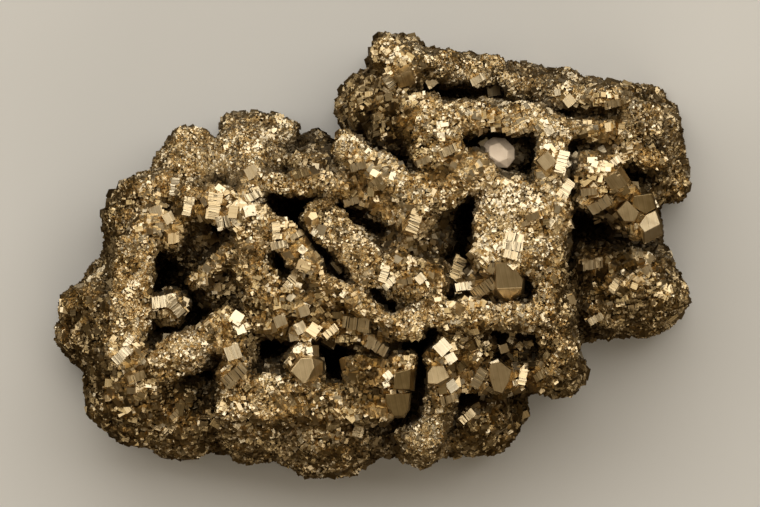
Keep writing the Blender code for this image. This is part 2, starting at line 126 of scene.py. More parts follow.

# The pyrite's finish, from cleanest faces to hollows of tarnish and painted shade, and the floor's.
PALE = (0.95, 0.80, 0.64, 1)
BRIGHT = (0.90, 0.79, 0.58, 1)
BRASS = (0.76, 0.60, 0.36, 1)
BRONZE = (0.46, 0.34, 0.165, 1)
DARK = (0.20, 0.145, 0.075, 1)
# the hollows' tarnish and painted shade
TARNISH_AND_SHADE = (0.075, 0.045, 0.018, 1)
BLOTCH_SCALE, SPECKLE_SCALE = 95.0, 700.0  # over a metre
STRIPES = 3.1  # over a millimetre
STRIPE_HIGH = 0.00006
FLOOR_COLOR = (0.8, 0.8, 0.79, 1)
FLOOR_HALF = 4  # metres

# The studio's walls, as the specimen mirrors them from below, from the side and from above, and as the
# camera sees them.
GLOW_BELOW = (0.050, 0.033, 0.015, 1)
GLOW_ASIDE = (0.095, 0.068, 0.035, 1)
GLOW_ABOVE = (0.21, 0.17, 0.115, 1)
BACKDROP = (0.66, 0.66, 0.65, 1)

# The view from straight above. VIEW_WIDE is what its frame takes in at the height of the crests.
FILM_WIDE = 36.0
VIEW_X, VIEW_Y = 1.0, 0.5
VIEW_WIDE = 152.0
CREST_HIGH = 33.0
CAMERA_HIGH = 4000.0

# The map of heights that tells how far each place is shut in.
RELIEF_CELL = 0.5
RELIEF_MARGIN = 20
SHUT_TURNS = 10
SHUT_REACHES = (1.0, 2.0, 3.0, 4.5, 6.5, 9.0, 12.0)


class Blade(NamedTuple):
    """A plate on edge. lean, in degrees, swings its root to the right of the way from start to end."""

    start: tuple
    end: tuple
    thick: float
    lean: float = 0.0


class Lump(NamedTuple):
    """A rounded mass: its middle, its half-sizes, and its turn about Z in degrees."""

    middle: tuple
    radii: tuple
    turn: float = 0.0


class Cleft(NamedTuple):
    """A narrow gap that runs from start to end between two blades, open above and as deep as floor."""

    start: tuple
    end: tuple
    wide: float
    floor: float


class Block(NamedTuple):
    """A crystal of its own shape. corners are measured from its middle, close above the skin."""

    x: float
    y: float
    tone: float
    corners: list


class Crystal(NamedTuple):
    """A larger crystal seated on whatever lies under (x, y). tone is how pale it is, from -1 to 1."""

    x: float
    y: float
    size: float
    habit: str
    turns: tuple
    tone: float = 0.0


class Softbox(NamedTuple):
    """A rectangular light, in metres, that looks at the specimen from the direction way."""

    way: tuple
    away: float
    wide: float
    high: float
    power: float
    color: tuple


LIGHTS = {
    "key_light": Softbox((0.1, 0.68, 0.8), 1.2, 2.2, 1.4, 15, (1.0, 0.95, 0.86)),
    "low_light": Softbox((0.3, -0.75, 0.5), 1.2, 1.2, 0.5, 2.6, (1.0, 0.9, 0.75)),
    "left_light": Softbox((-0.9, 0.25, 0.6), 1.2, 0.6, 0.8, 2.2, (1.0, 0.95, 0.86)),
}

BLADES = {
    # The west side: a long wall that turns in at its top, the brow over it and the bar below.
    "west_wall": Blade((-48, 4, 35), (-50, -22, 37), 8.2, 3),
    "west_turn": Blade((-49, 5, 34), (-38, 4.5, 34), 6),
    "west_brow": Blade((-51.5, 12.8, 25), (-41, 14, 31), 5.2),
    "west_bar": Blade((-46.5, -24.2, 36), (-27.5, -13.6, 40), 7.4),
    "pocket_rib": Blade((-36.8, -6.8, 31), (-28.5, 1.5, 36), 4),
    # The north-west slope.
    "brow_lip": Blade((-41, 12, 34), (-24.5, 8.8, 39), 7),
    "nw_comb": Blade((-36.5, 10, 35), (-35.6, 26, 20), 7.5),
    "nw_rim": Blade((-30.5, 25.2, 20), (-20, 26.2, 20), 4.5),
    "nw_fin": Blade((-24, 13, 37), (-17, 28.5, 20), 5.5),
    "north_ledge": Blade((-22.5, 14.3, 38), (-5.5, 14.6, 40), 4),
    # Long blades that run from the upper left to the lower right.
    "inner_wall": Blade((-25, 10.5, 41), (-22, -11, 40), 7.5),
    "long_blade": Blade((-22, 7, 43), (-11, -2.2, 44), 4.8, 4),
    "long_blade_tip": Blade((-12, -2.6, 44), (4, -13.5, 45), 4, 6),
    "broad_blade": Blade((-14, 9.4, 42), (0, -2.1, 46), 6.4, -4),
    "broad_blade_tip": Blade((-8, -0.2, 45), (14, -6.3, 45), 7.8, -4),
    "tip_flank": Blade((-1.5, -5.2, 42), (9.5, -8.6, 42), 3.6),
    "knob_blade": Blade((-8.5, 23.5, 42), (11, 10.5, 49), 6.2, 6),
    "knob_flank": Blade((-7.5, 17.5, 38), (8, 6.8, 46), 8, 5),
    # The upper middle.
    "cross_blade": Blade((8.5, 12.5, 46), (23.5, 17.8, 46), 8.5),
    "gable": Blade((8.3, 32.8, 39), (14.3, 18.5, 46), 9.5, 12),
    "high_bar": Blade((12, 28, 42), (34.5, 26.8, 42), 5),
    "back_ridge": Blade((9, 38, 28), (26, 36.2, 21), 5.8),
    "back_ridge_end": Blade((25, 34.8, 22), (38, 32.2, 26), 4.4),
    # The right middle.
    "bright_back": Blade((25.5, 17.2, 44), (23.6, -3.5, 46), 9),
    "middle_back": Blade((29, 14.5, 44), (30, -3, 47), 7),
    "east_back": Blade((34, 15, 43), (33.8, -5, 44), 8),
    "pillar": Blade((34.8, 28, 43), (35.4, 9, 45), 6),
    # The north-east lobe.
    "ne_rim": Blade((35, 31.8, 28), (49, 31.4, 32), 4.6),
    "ne_rim_end": Blade((47, 31.2, 31), (57.3, 27, 25), 4.4),
    "ne_bar": Blade((37, 25.6, 40), (58, 25.4, 30), 3.4),
    "ne_shelf": Blade((39.5, 19.1, 39), (58, 19.2, 31), 3.2),
    "east_flank": Blade((58, 27.5, 22), (60, 10.8, 19), 5.2),
    "ne_arm": Blade((42.5, 18, 42), (54.6, 5.2, 38), 7.2),
    "arm_seat": Blade((38.5, 14.8, 38), (47, 10.8, 39), 7),
    # The south-east lobe.
    "se_slope": Blade((41, -0.5, 29), (57.5, -3, 22), 6),
    "se_edge": Blade((57, -1.5, 20), (61.3, -9.5, 17), 5),
    "se_shelf": Blade((41.5, -9, 27), (58, -11, 22), 8),
    # The long bar across the lower middle and the foot at its right end.
    "bar_west": Blade((0.5, -14, 43), (17.5, -12.2, 47), 5.6),
    "bar_east": Blade((16, -12.4, 47), (36.5, -11.2, 44), 5.6),
    "foot": Blade((35.2, -9, 44), (37, -26.5, 38), 6, -3),
    "cube_ledge": Blade((-26, -11.3, 39), (-1, -13.3, 41), 9),
    # The lower middle.
    "row_ledge": Blade((17.5, -24, 37), (35, -24.2, 35), 5),
    "south_post": Blade((14.4, -15.5, 44), (13, -29, 40), 5.6),
    "post_shoulder": Blade((15.5, -18.3, 40), (23.5, -18, 39), 4.6),
    "toe": Blade((12.3, -27.5, 39), (8.6, -40.5, 33), 7.6),
    "block_top": Blade((-5.5, -24, 43), (8, -23.4, 45), 7.2),
    "block_face": Blade((-5, -29.4, 42), (6.2, -28.6, 43), 7.2),
    "centre_post": Blade((-15.6, -18.5, 42), (-13, -27, 42), 6.5),
    "centre_bank": Blade((-25, -28.5, 39), (-2, -29.5, 40), 8),
    "sw_post": Blade((-28, -17.5, 41), (-28.4, -33, 37), 7),
}

LUMPS = {
    # The root that carries every blade.
    "root_west": Lump((-34, -6, 0), (20, 28, 12)),
    "root_middle": Lump((0, -6, 0), (31, 30, 13)),
    "root_east": Lump((32, 5, 0), (26, 25, 12)),
    # The west end.
    "west_cheek": Lump((-48, 5, 14), (6.6, 10, 15)),
    "west_nose": Lump((-56.8, -10.8, 11), (6.5, 4.8, 9), 15),
    "west_jaw": Lump((-57.4, -15.8, 10), (6.8, 5.4, 9)),
    "west_side": Lump((-54, -13, 10), (6, 12, 17)),
    "sw_belly": Lump((-46.5, -25, 10), (11, 12.6, 26), -25),
    "sw_heel": Lump((-38.5, -30, 6), (12, 10, 24)),
    # The north-west slope and the small hump behind it.
    "nw_hump": Lump((-37, 15.5, 14), (7, 9.5, 15)),
    "nw_back": Lump((-25, 16.5, 16), (8.5, 10.5, 16)),
    "gap_fill": Lump((-12, 17, 17), (7, 5, 17)),
    "gap_hump": Lump((-11.5, 20, 8), (6, 4.4, 8)),
    # The peak and the dark lobe to its left.
    "peak": Lump((5, 39, 16), (5.8, 5, 16)),
    "peak_front": Lump((5.5, 35.5, 22), (5.2, 5, 12)),
    "peak_horn": Lump((2.8, 40.8, 18), (2.4, 2.8, 13)),
    "dark_lobe": Lump((-1.2, 29.8, 12), (5.9, 6.6, 19)),
    "lobe_fill": Lump((4, 26.5, 22), (6, 8, 17)),
    "back_floor": Lump((22, 33, 2), (17, 6, 13)),
    "back_corner": Lump((35.4, 29.4, 18), (3.4, 3.2, 9)),
    "nw_corner": Lump((-19.3, 23.4, 1), (3.6, 3.2, 6)),
    # Masses between the blades.
    "hollow_step": Lump((-31, -6, 12), (6.4, 6.2, 18.5)),
    "brow_fill": Lump((-43.5, 9.6, 18), (5.2, 4.2, 13)),
    "hollow_bridge": Lump((-41.5, -9.7, 29), (5, 2.9, 6)),
    "fan_bank": Lump((-11, -8.5, 28), (9, 4.6, 13)),
    "fan_seat": Lump((-15.5, -5.4, 34), (3.6, 3, 6.5)),
    "valley_fill": Lump((5.5, 2.4, 26), (8.5, 3.2, 15.5)),
    "valley_floor": Lump((11.5, 2, 22), (4, 5, 14)),
    "pale_seat": Lump((25, 21, 22), (8, 5, 12)),
    "crystal_seat": Lump((22, -5.5, 28), (10, 5, 14)),
    "knob_neck": Lump((34.6, -5, 36), (3.6, 4, 8)),
    "foot_knob": Lump((34.4, -8, 40), (3.2, 2.6, 5)),
    "foot_heel": Lump((38, -24.2, 18), (3.8, 3.5, 16)),
    "row_floor": Lump((28, -19, 20), (8, 6, 12.5)),
    "block_neck": Lump((-0.5, -17.5, 28), (4.6, 4, 13)),
    "groove_bank": Lump((-19.8, -24, 22), (4, 4.6, 14)),
    "ne_floor": Lump((46.5, 22.4, 19), (11.5, 8, 14.2)),
    # The lower edge.
    "south_belly": Lump((-10, -33, 6), (13, 10.8, 30)),
    "south_lip": Lump((-24.5, -31.5, 6), (11, 9.2, 28)),
    "south_notch": Lump((3, -33, 4), (6, 6.6, 15)),
    "toe_ball": Lump((9.5, -36.5, 15), (5.2, 5.6, 12)),
    "back_skirt": Lump((20.4, -31.8, 6), (9.8, 7.4, 22), 25),
    "se_body": Lump((49.5, -7, 9), (13, 8.8, 19), -5),
    "ne_body": Lump((52, 19, 12), (10.4, 10.6, 12)),
}

CLEFTS = {
    # Between the long blade and the broad blade beside it.
    "long_upper": Cleft((-17, 9.4), (-9.6, -0.8), 2.2, 29),
    "long_lower": Cleft((-9.4, -1.4), (3.8, -11.2), 2.2, 30),
    "wall_gap": Cleft((-20.2, 0.6), (-17.6, -4.4), 2.4, 31),
    # From the long bar down past the post.
    "post_upper": Cleft((11, -15.4), (9.3, -20.6), 3, 24),
    "post_middle": Cleft((9.2, -20), (8.1, -30), 3, 22),
    "post_lower": Cleft((8, -29.6), (3, -36), 4, 17),
    "corner_gap": Cleft((-31.6, -20.8), (-35.6, -30.4), 3.6, 24),
    # In the north-east lobe.
    "east_hollow": Cleft((51.5, 16), (57.2, 13.6), 4.4, 18),
    "rim_gap": Cleft((39.6, 29.2), (48.6, 28.8), 3, 26),
    # Pockets beside the gable.
    "gable_pocket": Cleft((4.2, 20.8), (8.4, 18), 2.4, 33),
}

CRYSTALS = [
    # The bright back and the hollow above it.
    Crystal(21.8, -6.2, 3.9, "bar", (6, -10, 35), 0.1),
    Crystal(16.2, -2.6, 3.9, "bar", (8, 12, 65), -0.1),
    Crystal(17.6, -6.2, 2.8, "bar", (-10, 14, 10), 0.6), Crystal(27.6, 3.6, 3, "bar", (-9, 6, -12), 0.5),
    Crystal(27.4, 1.9, 3.2, "bar", (-8, 5, -8), 0.5), Crystal(27.2, 0.1, 2.8, "bar", (-7, 7, -14), 0.4),
    Crystal(22.2, 22.4, 2, "cube", (-6, -10, 35), 0.8), Crystal(14.3, 21, 3, "bar", (6, 10, 25), 0.1),
    Crystal(9.4, 19, 2.4, "bar", (12, 16, 20), 0.1), Crystal(37.2, 18.6, 3.6, "bar", (0, 13, 75), 0.6),
    Crystal(38, 13, 3.4, "bar", (3, 12, 60), 0.4), Crystal(34, 19, 3, "cube", (7, 7, 40), 0.1),
    Crystal(31.5, 8, 2.4, "bar", (8, -12, 20), 0.1),
    # The north-east lobe.
    Crystal(48.3, 15.4, 3.4, "cube", (12, -18, 30), -0.1),
    Crystal(47.6, 18.6, 2.6, "bar", (-1, 7, 35), 0.5), Crystal(45, 10.4, 3.8, "bar", (7, -7, 30), 0.2),
    Crystal(42.5, 13, 2.6, "bar", (16, 12, 5), 0.1), Crystal(47.6, 30.6, 2.6, "bar", (6, -7, 10), 0.1),
    Crystal(38.6, 31, 2.2, "cube", (8, 14, 40), 0.2),
    # The south-east lobe.
    Crystal(43, -1.6, 3.4, "bar", (7, 21, 10), 0.2), Crystal(53.6, -3, 2.8, "bar", (11, 14, 25), 0.3),
    Crystal(47.6, -6, 2.6, "bar", (16, 20, 60), 0.1), Crystal(44, -12.6, 2.6, "bar", (8, 10, 30), 0.3),
    Crystal(38.8, -8.8, 2, "cube", (10, 12, 20), -0.1),
    # The post under the long bar, and the row of crystals beside it.
    Crystal(13.6, -18.4, 2.9, "cube", (-9, 3, 42), 0.75),
    Crystal(15.1, -20.5, 2.0, "cube", (-5, 8, 30), 0.7),
    Crystal(15.2, -18.4, 1.6, "cube", (-7, 20, 20), 0.1),
    Crystal(17.0, -21.8, 2.8, "bar", (20, 30, 45), -0.5),
    Crystal(14.4, -28.4, 2.8, "bar", (14, 16, 15), 0.1),
    Crystal(18.3, -32.2, 2.8, "bar", (6, 10, 40), 0.2),
    Crystal(21, -24.2, 3.4, "bar", (-7, -15, 60), 0.4),
    Crystal(29.4, -24.4, 2.6, "bar", (6, 12, 80), 0.2),
    Crystal(33, -23.6, 2.8, "bar", (14, 14, 30), -0.2),
    Crystal(25.6, -18.4, 1.8, "cube", (10, 8, 20), 0.1),
    Crystal(28.8, -18, 1.4, "cube", (14, 14, 50), -0.1),
    Crystal(31, -17.4, 1.2, "cube", (12, 6, 10), -0.1),
    Crystal(27.2, -16.8, 1.4, "cube", (4, 6, 60), 0.4),
    # The block west of the post.
    Crystal(4.2, -18.7, 3, "bar", (14, 7, 80), 0.1), Crystal(-3.4, -34, 3.6, "bar", (10, 7, 75), 0.2),
    Crystal(0.2, -18, 3.8, "bar", (3, 8, -28), 0.2), Crystal(-3.6, -13.4, 4.2, "bar", (7, -7, -8), -0.1),
    Crystal(-15.7, -19.0, 1.2, "cube", (-16, -6, 0), 0.8),
    Crystal(-14.9, -18.6, 1.4, "cube", (-11, 1, 23), 0.8),
    Crystal(-14.0, -18.7, 1.1, "cube", (-6, -5, 46), 0.8),
    Crystal(-13.1, -18.9, 1.3, "cube", (-12, 2, 9), 0.8),
    Crystal(-12.3, -19.4, 1.2, "cube", (-7, -4, 32), 0.8),
    Crystal(-11.4, -20.0, 1.3, "cube", (-13, 3, 55), 0.8),
    Crystal(-12.8, -20.0, 1.0, "cube", (-8, -3, 18), 0.8),
    # The lower west.
    Crystal(-28.5, -19.3, 3, "cube", (0, 8, 20), 0.3),
    Crystal(-27.8, -23.6, 4.2, "bar", (0, -10, 40), 0.2),
    Crystal(-50.6, -19.8, 3.4, "bar", (0, 7, 42), 0.6), Crystal(-48, -24, 3, "bar", (18, 14, 20), 0),
    Crystal(-40, -31.6, 2.6, "bar", (16, 14, 45), 0),
    Crystal(-27.4, -12.6, 2.5, "cube", (-17, 6, 55), 0.9),
    Crystal(-26.8, -14.9, 1.8, "cube", (-15, 2, 20), 0.9),
    Crystal(-42.5, -9.2, 4, "bar", (-4, 14, 10), 0.5), Crystal(-39.8, -10, 3.6, "bar", (7, -7, -50), 0.4),
    # The cubes under the long blades.
    Crystal(-19.1, -12.9, 2.4, "cube", (5, 8, 20), 0.2),
    Crystal(-15, -14.4, 2.3, "cube", (2, 8, 30), 0.3),
    Crystal(-12.3, -14.9, 2.4, "cube", (-3, 12, 55), 0.3),
    Crystal(-16.3, -16, 2, "cube", (3, 8, 10), 0.3), Crystal(-9, -15.2, 2.6, "bar", (1, 12, 40), 0.2),
    # The long blades.
    Crystal(-19.6, 5, 2.8, "bar", (-1, 6, 95), 0.2), Crystal(-19.2, 2.2, 2.6, "bar", (0, 5, 12), 0.3),
    Crystal(-15.8, 4.2, 2.2, "bar", (8, 8, 30), 0.1), Crystal(-16.4, -4.8, 3.8, "bar", (5, 7, 50), 0.1),
    Crystal(-7.2, -1.6, 2.8, "cube", (4, 7, 40), 0.1),
    Crystal(-12.6, 7.6, 3, "pyritohedron", (20, 20, 30), 0.1),
    Crystal(2.8, -5.4, 2.6, "bar", (-1, 10, 40), 0.5), Crystal(5.8, -5, 2.4, "bar", (12, 8, 10), 0.1),
    Crystal(-3.2, 18, 2.6, "bar", (5, -10, 15), 0.2), Crystal(0.2, 15, 2.3, "bar", (12, -8, 35), -0.1),
    Crystal(-4.6, 11, 2.5, "bar", (7, -10, 15), 0.2), Crystal(7.6, 7, 4.2, "bar", (12, 10, 70), 0.1),
    # The north-west slope and the brow.
    Crystal(-32.2, 9.8, 4.2, "bar", (4, 7, 82), 0.1), Crystal(-29, 7, 4, "bar", (-2, -7, 15), 0.4),
    Crystal(-44, 8.8, 2.4, "cube", (4, 7, 20), 0.3), Crystal(-24.4, 12, 2.8, "bar", (2, 8, 30), 0.4),
    Crystal(-37.6, 9.8, 3, "bar", (9, 7, 80), 0.3),
    # The peak.
    Crystal(6.1, 36, 3.3, "cube", (25, -10, 15), -0.1), Crystal(3, 34.4, 3.2, "bar", (-6, 14, -55), 0.5),
    Crystal(20.4, 35.4, 2.6, "bar", (6, 14, 30), 0.4),
    # Smaller crystals among the druse.
    Crystal(28.9, -25.2, 2.2, "bar", (-1, 5, 10), 0.6), Crystal(24, -21.8, 1.8, "cube", (-5, 8, 20), 0.6),
    Crystal(2.6, -24.0, 1.7, "cube", (-9, 5, 40), 0.8),
    Crystal(2.3, -25.6, 1.3, "cube", (-6, -5, 25), 0.6),
    Crystal(3.6, -27.2, 1.2, "cube", (-3, 5, 10), 0.3),
    Crystal(5.4, -27.1, 1.2, "cube", (-3, -5, 20), 0.3), Crystal(55.6, 10.2, 2, "cube", (-6, 7, 25), 0.9),
    Crystal(-25, 8.9, 2.3, "cube", (-7, 6, 12), 0.8), Crystal(-40, 13.8, 2.8, "bar", (-4, 4, 85), 0.9),
    Crystal(-41.4, 7.6, 2.2, "cube", (2, 10, 30), 0.2), Crystal(-40.7, 4, 2.4, "cube", (25, 20, 10)),
    Crystal(-33, 3.6, 2.2, "cube", (20, 25, 35)), Crystal(-14.6, 1.2, 1.6, "cube", (4, 10, 50), 0.5),
    Crystal(1.7, -3.6, 2.8, "bar", (5, 7, 75), 0.4), Crystal(9, -4.6, 1.9, "cube", (-1, 8, 40), 0.5),
    Crystal(-1, 8.2, 2.0, "pyritohedron", (-12, 7, 25), 0.8),
    Crystal(11, 35.2, 2.6, "cube", (9, 14, 30), 0.1), Crystal(23.5, 33.5, 2.6, "cube", (9, 14, 10), 0.4),
    Crystal(-25, 16.8, 2.6, "cube", (7, 14, 30), 0.1), Crystal(-15, 16.5, 2.6, "bar", (12, 10, 20), -0.3),
    Crystal(-14.5, -11, 2.2, "cube", (7, 18, 20), 0.1), Crystal(-9, -17.2, 2.4, "cube", (9, 14, 60), 0.1),
    Crystal(-49.4, -17.2, 2.2, "bar", (2, 8, 50), 0.5), Crystal(-53, -28, 2.2, "bar", (16, 12, 15), 0.1),
    Crystal(34.6, 25, 1.8, "cube", (2, 8, 30), 0.6), Crystal(6, 36, 2, "cube", (10, 5, 40), -0.9),
]

# The largest crystals, each of its own shape.
BLOCKS = [
    # The grey one in front of the bright back, with a face that slopes away below.
    Block(26.5, -4.8, -0.15, [
        (-2.5, 3.3, 5.0), (0.4, 3.7, 5.2), (3.0, 0.1, 4.7), (2.8, -1.5, 4.5), (-2.3, -1.7, 4.5),
        (-0.2, -4.3, 2.0), (2.5, -2.9, 2.4), (-1.9, -3.2, 2.4), (-2.9, 3.8, -2.6), (0.9, 4.3, -2.6),
        (3.6, 0.2, -2.6), (3.3, -2.6, -2.6), (-0.2, -4.9, -2.6), (-2.9, -2.8, -2.6),
    ]),
    # The tan one in the south, with a darker face on its right.
    Block(-13.9, -22.6, -0.05, [
        (-2.9, -0.4, 1.6), (-0.9, 2.1, 1.5), (1.3, 2.3, 1.5), (1.7, 0.2, 1.6), (0.3, -2.5, 1.7),
        (-0.4, -2.8, 1.7), (3.5, 1.6, 0.0), (3.6, -0.2, -0.1), (1.9, -2.3, 0.2), (-3.2, -0.2, 0.9),
        (-1.2, 2.7, 0.7), (-3.4, -0.4, -2.6), (-1.3, 3.2, -2.6), (1.6, 3.2, -2.6), (3.9, 1.6, -2.6),
        (3.9, -0.4, -2.6), (1.9, -2.9, -2.6), (-0.5, -3.2, -2.6),
    ]),
    # The tan one on the post.
    Block(12.6, -23.7, 0.0, [
        (-2.1, 0.4, 1.5), (-1.1, 1.7, 1.4), (1.0, 1.8, 1.4), (2.2, -0.4, 1.5), (-0.2, -1.7, 1.6),
        (-2.1, -1.6, 1.6), (2.7, -0.6, 0.6), (0.5, -2.3, 0.6), (-2.4, 0.6, -2.2), (-1.3, 2.1, -2.2),
        (1.2, 2.1, -2.2), (2.9, -0.6, -2.2), (0.5, -2.6, -2.2), (-2.4, -2.0, -2.2),
    ]),
    # The two dark ones beside the gap west of the post.
    Block(5.4, -25.0, -0.5, [
        (-1.3, 1.7, 2.0), (1.6, 2.4, 2.2), (1.4, -1.6, 1.2), (-1.7, -1.5, 1.2), (2.6, 2.4, 0.2),
        (2.2, -1.8, 0.0), (-1.9, 2.0, -2.4), (2.9, 2.7, -2.4), (2.5, -2.0, -2.4), (-2.1, -1.8, -2.4),
    ]),
    Block(4.4, -29.6, -0.55, [
        (-2.3, 2.0, 2.0), (2.6, 2.2, 2.0), (2.2, -0.8, 1.4), (1.3, -2.3, 1.0), (-0.6, -2.3, 1.0),
        (-2.1, 0.2, 1.6), (-2.6, 2.4, -2.4), (2.9, 2.5, -2.4), (2.6, -1.0, -2.4), (1.5, -2.7, -2.4),
        (-0.8, -2.7, -2.4), (-2.5, 0, -2.4),
    ]),
    # The wedge in the row east of the post.
    Block(24.9, -24.3, 0.0, [
        (-2.0, 2.6, 1.7), (0.2, 3.1, 1.8), (2.3, 1.4, 1.6), (1.9, -0.6, 1.3), (0.5, -3.1, 1.0),
        (-1.2, -2.6, 1.1), (-2.0, 0, 1.4), (-2.3, 2.8, -2.2), (0.3, 3.5, -2.2), (2.7, 1.6, -2.2),
        (2.2, -0.9, -2.2), (0.6, -3.4, -2.2), (-1.6, -2.9, -2.2), (-2.4, 0, -2.2),
    ]),
    # The three at the east end: light, dark and brassy.
    Block(54.6, 6.4, 0.35, [
        (-0.6, 1.7, 1.2), (1.4, 2.7, 1.1), (2.3, 0, 1.3), (-0.8, -1.6, 1.4), (-1.9, -0.2, 1.3),
        (-0.7, -3.9, -0.9), (2.9, -1.9, -0.9), (-1.9, -1.7, -0.7), (-0.8, 2.2, -2.6), (1.6, 3.2, -2.6),
        (2.9, -0.2, -2.6), (2.9, -2.2, -2.6), (-0.8, -4.1, -2.6), (-2.4, -0.6, -2.6),
    ]),
    Block(53.7, 10.5, -0.4, [
        (-2.0, 1.4, 1.6), (1.5, 1.9, 1.7), (2.3, -0.9, 1.0), (0.3, -2.1, 0.6), (-2.4, -0.6, 1.0),
        (-2.3, 1.7, -2.4), (1.8, 2.3, -2.4), (2.7, -1.1, -2.4), (0.3, -2.6, -2.4), (-2.8, -0.8, -2.4),
    ]),
    Block(50.6, 9.0, -0.05, [
        (-2.3, 0, 1.3), (-0.3, 2.1, 1.4), (2.1, -0.3, 1.3), (1.2, -2.1, 1.2), (-0.9, -2.0, 1.2),
        (-2.7, 0, -2.4), (-0.4, 2.6, -2.4), (2.6, -0.4, -2.4), (1.5, -2.6, -2.4), (-1.2, -2.5, -2.4),
    ]),
    # The pale one in the hollow above the bright back.
    Block(24.6, 20.6, 1.0, [
        (-2.6, 2.2, 1.6), (-0.9, 3.2, 1.3), (1.4, 2.9, 1.4), (3.3, 1.0, 1.8), (3.3, -1.2, 2.3),
        (1.9, -3.0, 2.7), (-1.3, -2.8, 2.6), (-3.3, -0.2, 2.0), (-1.6, 1.4, 2.4), (0.2, 2.0, 2.3),
        (1.9, 0.4, 2.7), (1.8, -1.1, 3.0), (0.2, -1.8, 3.2), (-1.9, -0.5, 2.8), (-2.7, 2.2, -2.4),
        (1.5, 2.9, -2.4), (3.4, -1.2, -2.4), (-1.5, -3.0, -2.4), (-3.4, -0.2, -2.4),
    ]),
]

# Where the druse is coarse: the middle, the reach and the size of its crystals, in millimetres.
COARSE_DRUSE = [
    (-17, -13, 9, 1.35), (-8, -13, 8, 1.17), (0, -20, 7, 1.35), (1, -28, 7, 1.17), (-8, -33, 8, 1.08),
    (-16, -31, 7, 1.08), (-28, -23, 6, 1.26), (-27, -33, 7, 0.99), (15, -22, 6, 1.35), (26, -24, 9, 1.44),
    (26, -18, 7, 1.26), (22, -32, 8, 1.08), (48, -2, 10, 1.17), (46, 7, 8, 1.17), (50, 11, 7, 1.35),
    (43, 13, 5, 1.17), (45, 22, 8, 1.17), (46, 31, 7, 1.08), (20, -4, 8, 1.26), (35, 8, 5, 1.17),
    (36, 17, 5, 1.26), (24, 22, 8, 1.35), (15, 20, 5, 1.26), (-1, 14, 7, 1.26), (1, 29, 8, 1.26),
    (5, 36, 5, 1.17), (8, 4, 8, 1.17), (-14, 1, 6, 1.17), (-15, -5, 4, 1.17), (-31, 8, 7, 1.26),
    (-42, 7, 6, 1.17), (-33, -5, 7, 1.08), (-41, -9, 5, 1.26), (-48, -22, 5, 1.26), (-50, -28, 9, 1.17),
    (-59, -12, 6, 0.99), (-38, -32, 8, 1.08), (-11, 18, 5, 0.99),
]

# Painted highlights and shade on the druse: from one place to another, the reach, the change of tone.
PAINTED_LIGHT_AND_SHADE = [
    # Painted highlights along the long crests.
    ((34, 29), (37, 18), 4, 0.35), ((37, 18), (35, 2), 3, 0.25), ((24, 13), (27, 2), 5, 0.75),
    ((22, 25), (34, 24), 3, 0.3), ((38, 18), (42, 20), 3, 0.3), ((26, 6), (36, 2), 3, 0.2),
    ((22, -12), (34, -10), 2.5, 0.3), ((5, -13), (14, -12), 3, 0.25), ((12, 29), (30, 28), 2.5, 0.25),
    ((-6, 25), (6, 14), 3, 0.4), ((-2, 24), (4, 22), 2.5, 0.3), ((-10, 4), (-4, -1), 2.5, 0.3),
    ((-29, 20), (-24, 13), 5, 0.3), ((-33, 16), (-27, 16), 3, 0.3), ((-46, 10), (-46, -12), 2.5, 0.25),
    ((-38, -17), (-26, -22), 3.5, 0.3), ((-34, -22), (-32, -18), 2.5, 0.3),
    ((-30, -28), (-26, -33), 4, 0.25), ((-6, 0), (-1, -3), 3, 0.2), ((10, -28), (10, -36), 4, 0.7),
    ((20, 36), (25, 35), 3, 0.35), ((52, 29), (58, 24), 3, 0.2),
    # Painted shade on the flanks.
    ((-3, 33), (2, 29), 4.5, -0.7), ((3, 27), (13, 18), 2.4, -0.6), ((-12, 10), (-7, 10), 3, -0.5),
    ((-53, 12), (-52, 0), 3.5, -0.45), ((-61, -12), (-58, -18), 5, -0.45),
    ((-56, -26), (-52, -32), 5, -0.5), ((-44, -26), (-34, -34), 5, -0.5), ((-27, -1), (-25, -5), 3, -0.4),
    ((-30, -11), (-24, -9), 2.5, -0.3), ((-27, -11), (-6, -14), 3, -0.5),
    ((-16, -10), (-10, -12), 3.5, -0.35), ((-48, 10), (-34, 10), 2.5, -0.5),
    ((-45.5, -3), (-45, -12), 1.8, -0.5), ((-30, -18), (-20, -17), 3, -0.35),
    ((-6, -17), (0, -26), 3, -0.35), ((14, -17), (34, -22), 4, -0.45), ((46, -4), (58, -8), 4, -0.3),
    ((2, -1), (15, -2), 2.5, -0.35), ((-6, -20), (6, -21), 4, -0.5), ((-24, -27), (-20, -28), 3, -0.4),
    ((-4, -27), (-2, -29), 3, -0.3), ((38, 0), (38, -9), 2, -0.5), ((38, -16), (40, -24), 3, -0.4),
    ((44, -4), (52, -8), 7, -0.45), ((46, 14), (54, 10), 5, -0.4), ((54, 26), (58, 18), 4, -0.35),
    ((42, 18), (42, 14), 2.5, -0.4), ((22, -32), (28, -30), 5, -0.4),
]


def rounded_box(bm, matrix, size, edge):
    """Adds a box whose edges are cut back by edge."""
    made = bmesh.ops.create_cube(bm, size=1.0, matrix=matrix @ Matrix.Diagonal((*size, 1)))
    edges = {e for v in made["verts"] for e in v.link_edges}
    bmesh.ops.bevel(bm, geom=list(edges), offset=edge, segments=2, profile=0.5, affect="EDGES")


def add_blade(bm, blade):
    start, end = Vector(blade.start), Vector(blade.end)
    along = (end - start).normalized()
    side = along.cross(Vector((0, 0, 1))).normalized()
    side = Matrix.Rotation(math.radians(-blade.lean), 3, along) @ side
    up = side.cross(along)
    deep = (start.z + end.z) / 2 - ROOT_Z
    middle = (start + end) / 2 - up * deep / 2
    turn = Matrix((along, -side, up)).transposed().to_4x4()
    size = ((end - start).length, blade.thick, deep)
    rounded_box(bm, Matrix.Translation(middle) @ turn, size, BLADE_EDGE * blade.thick)


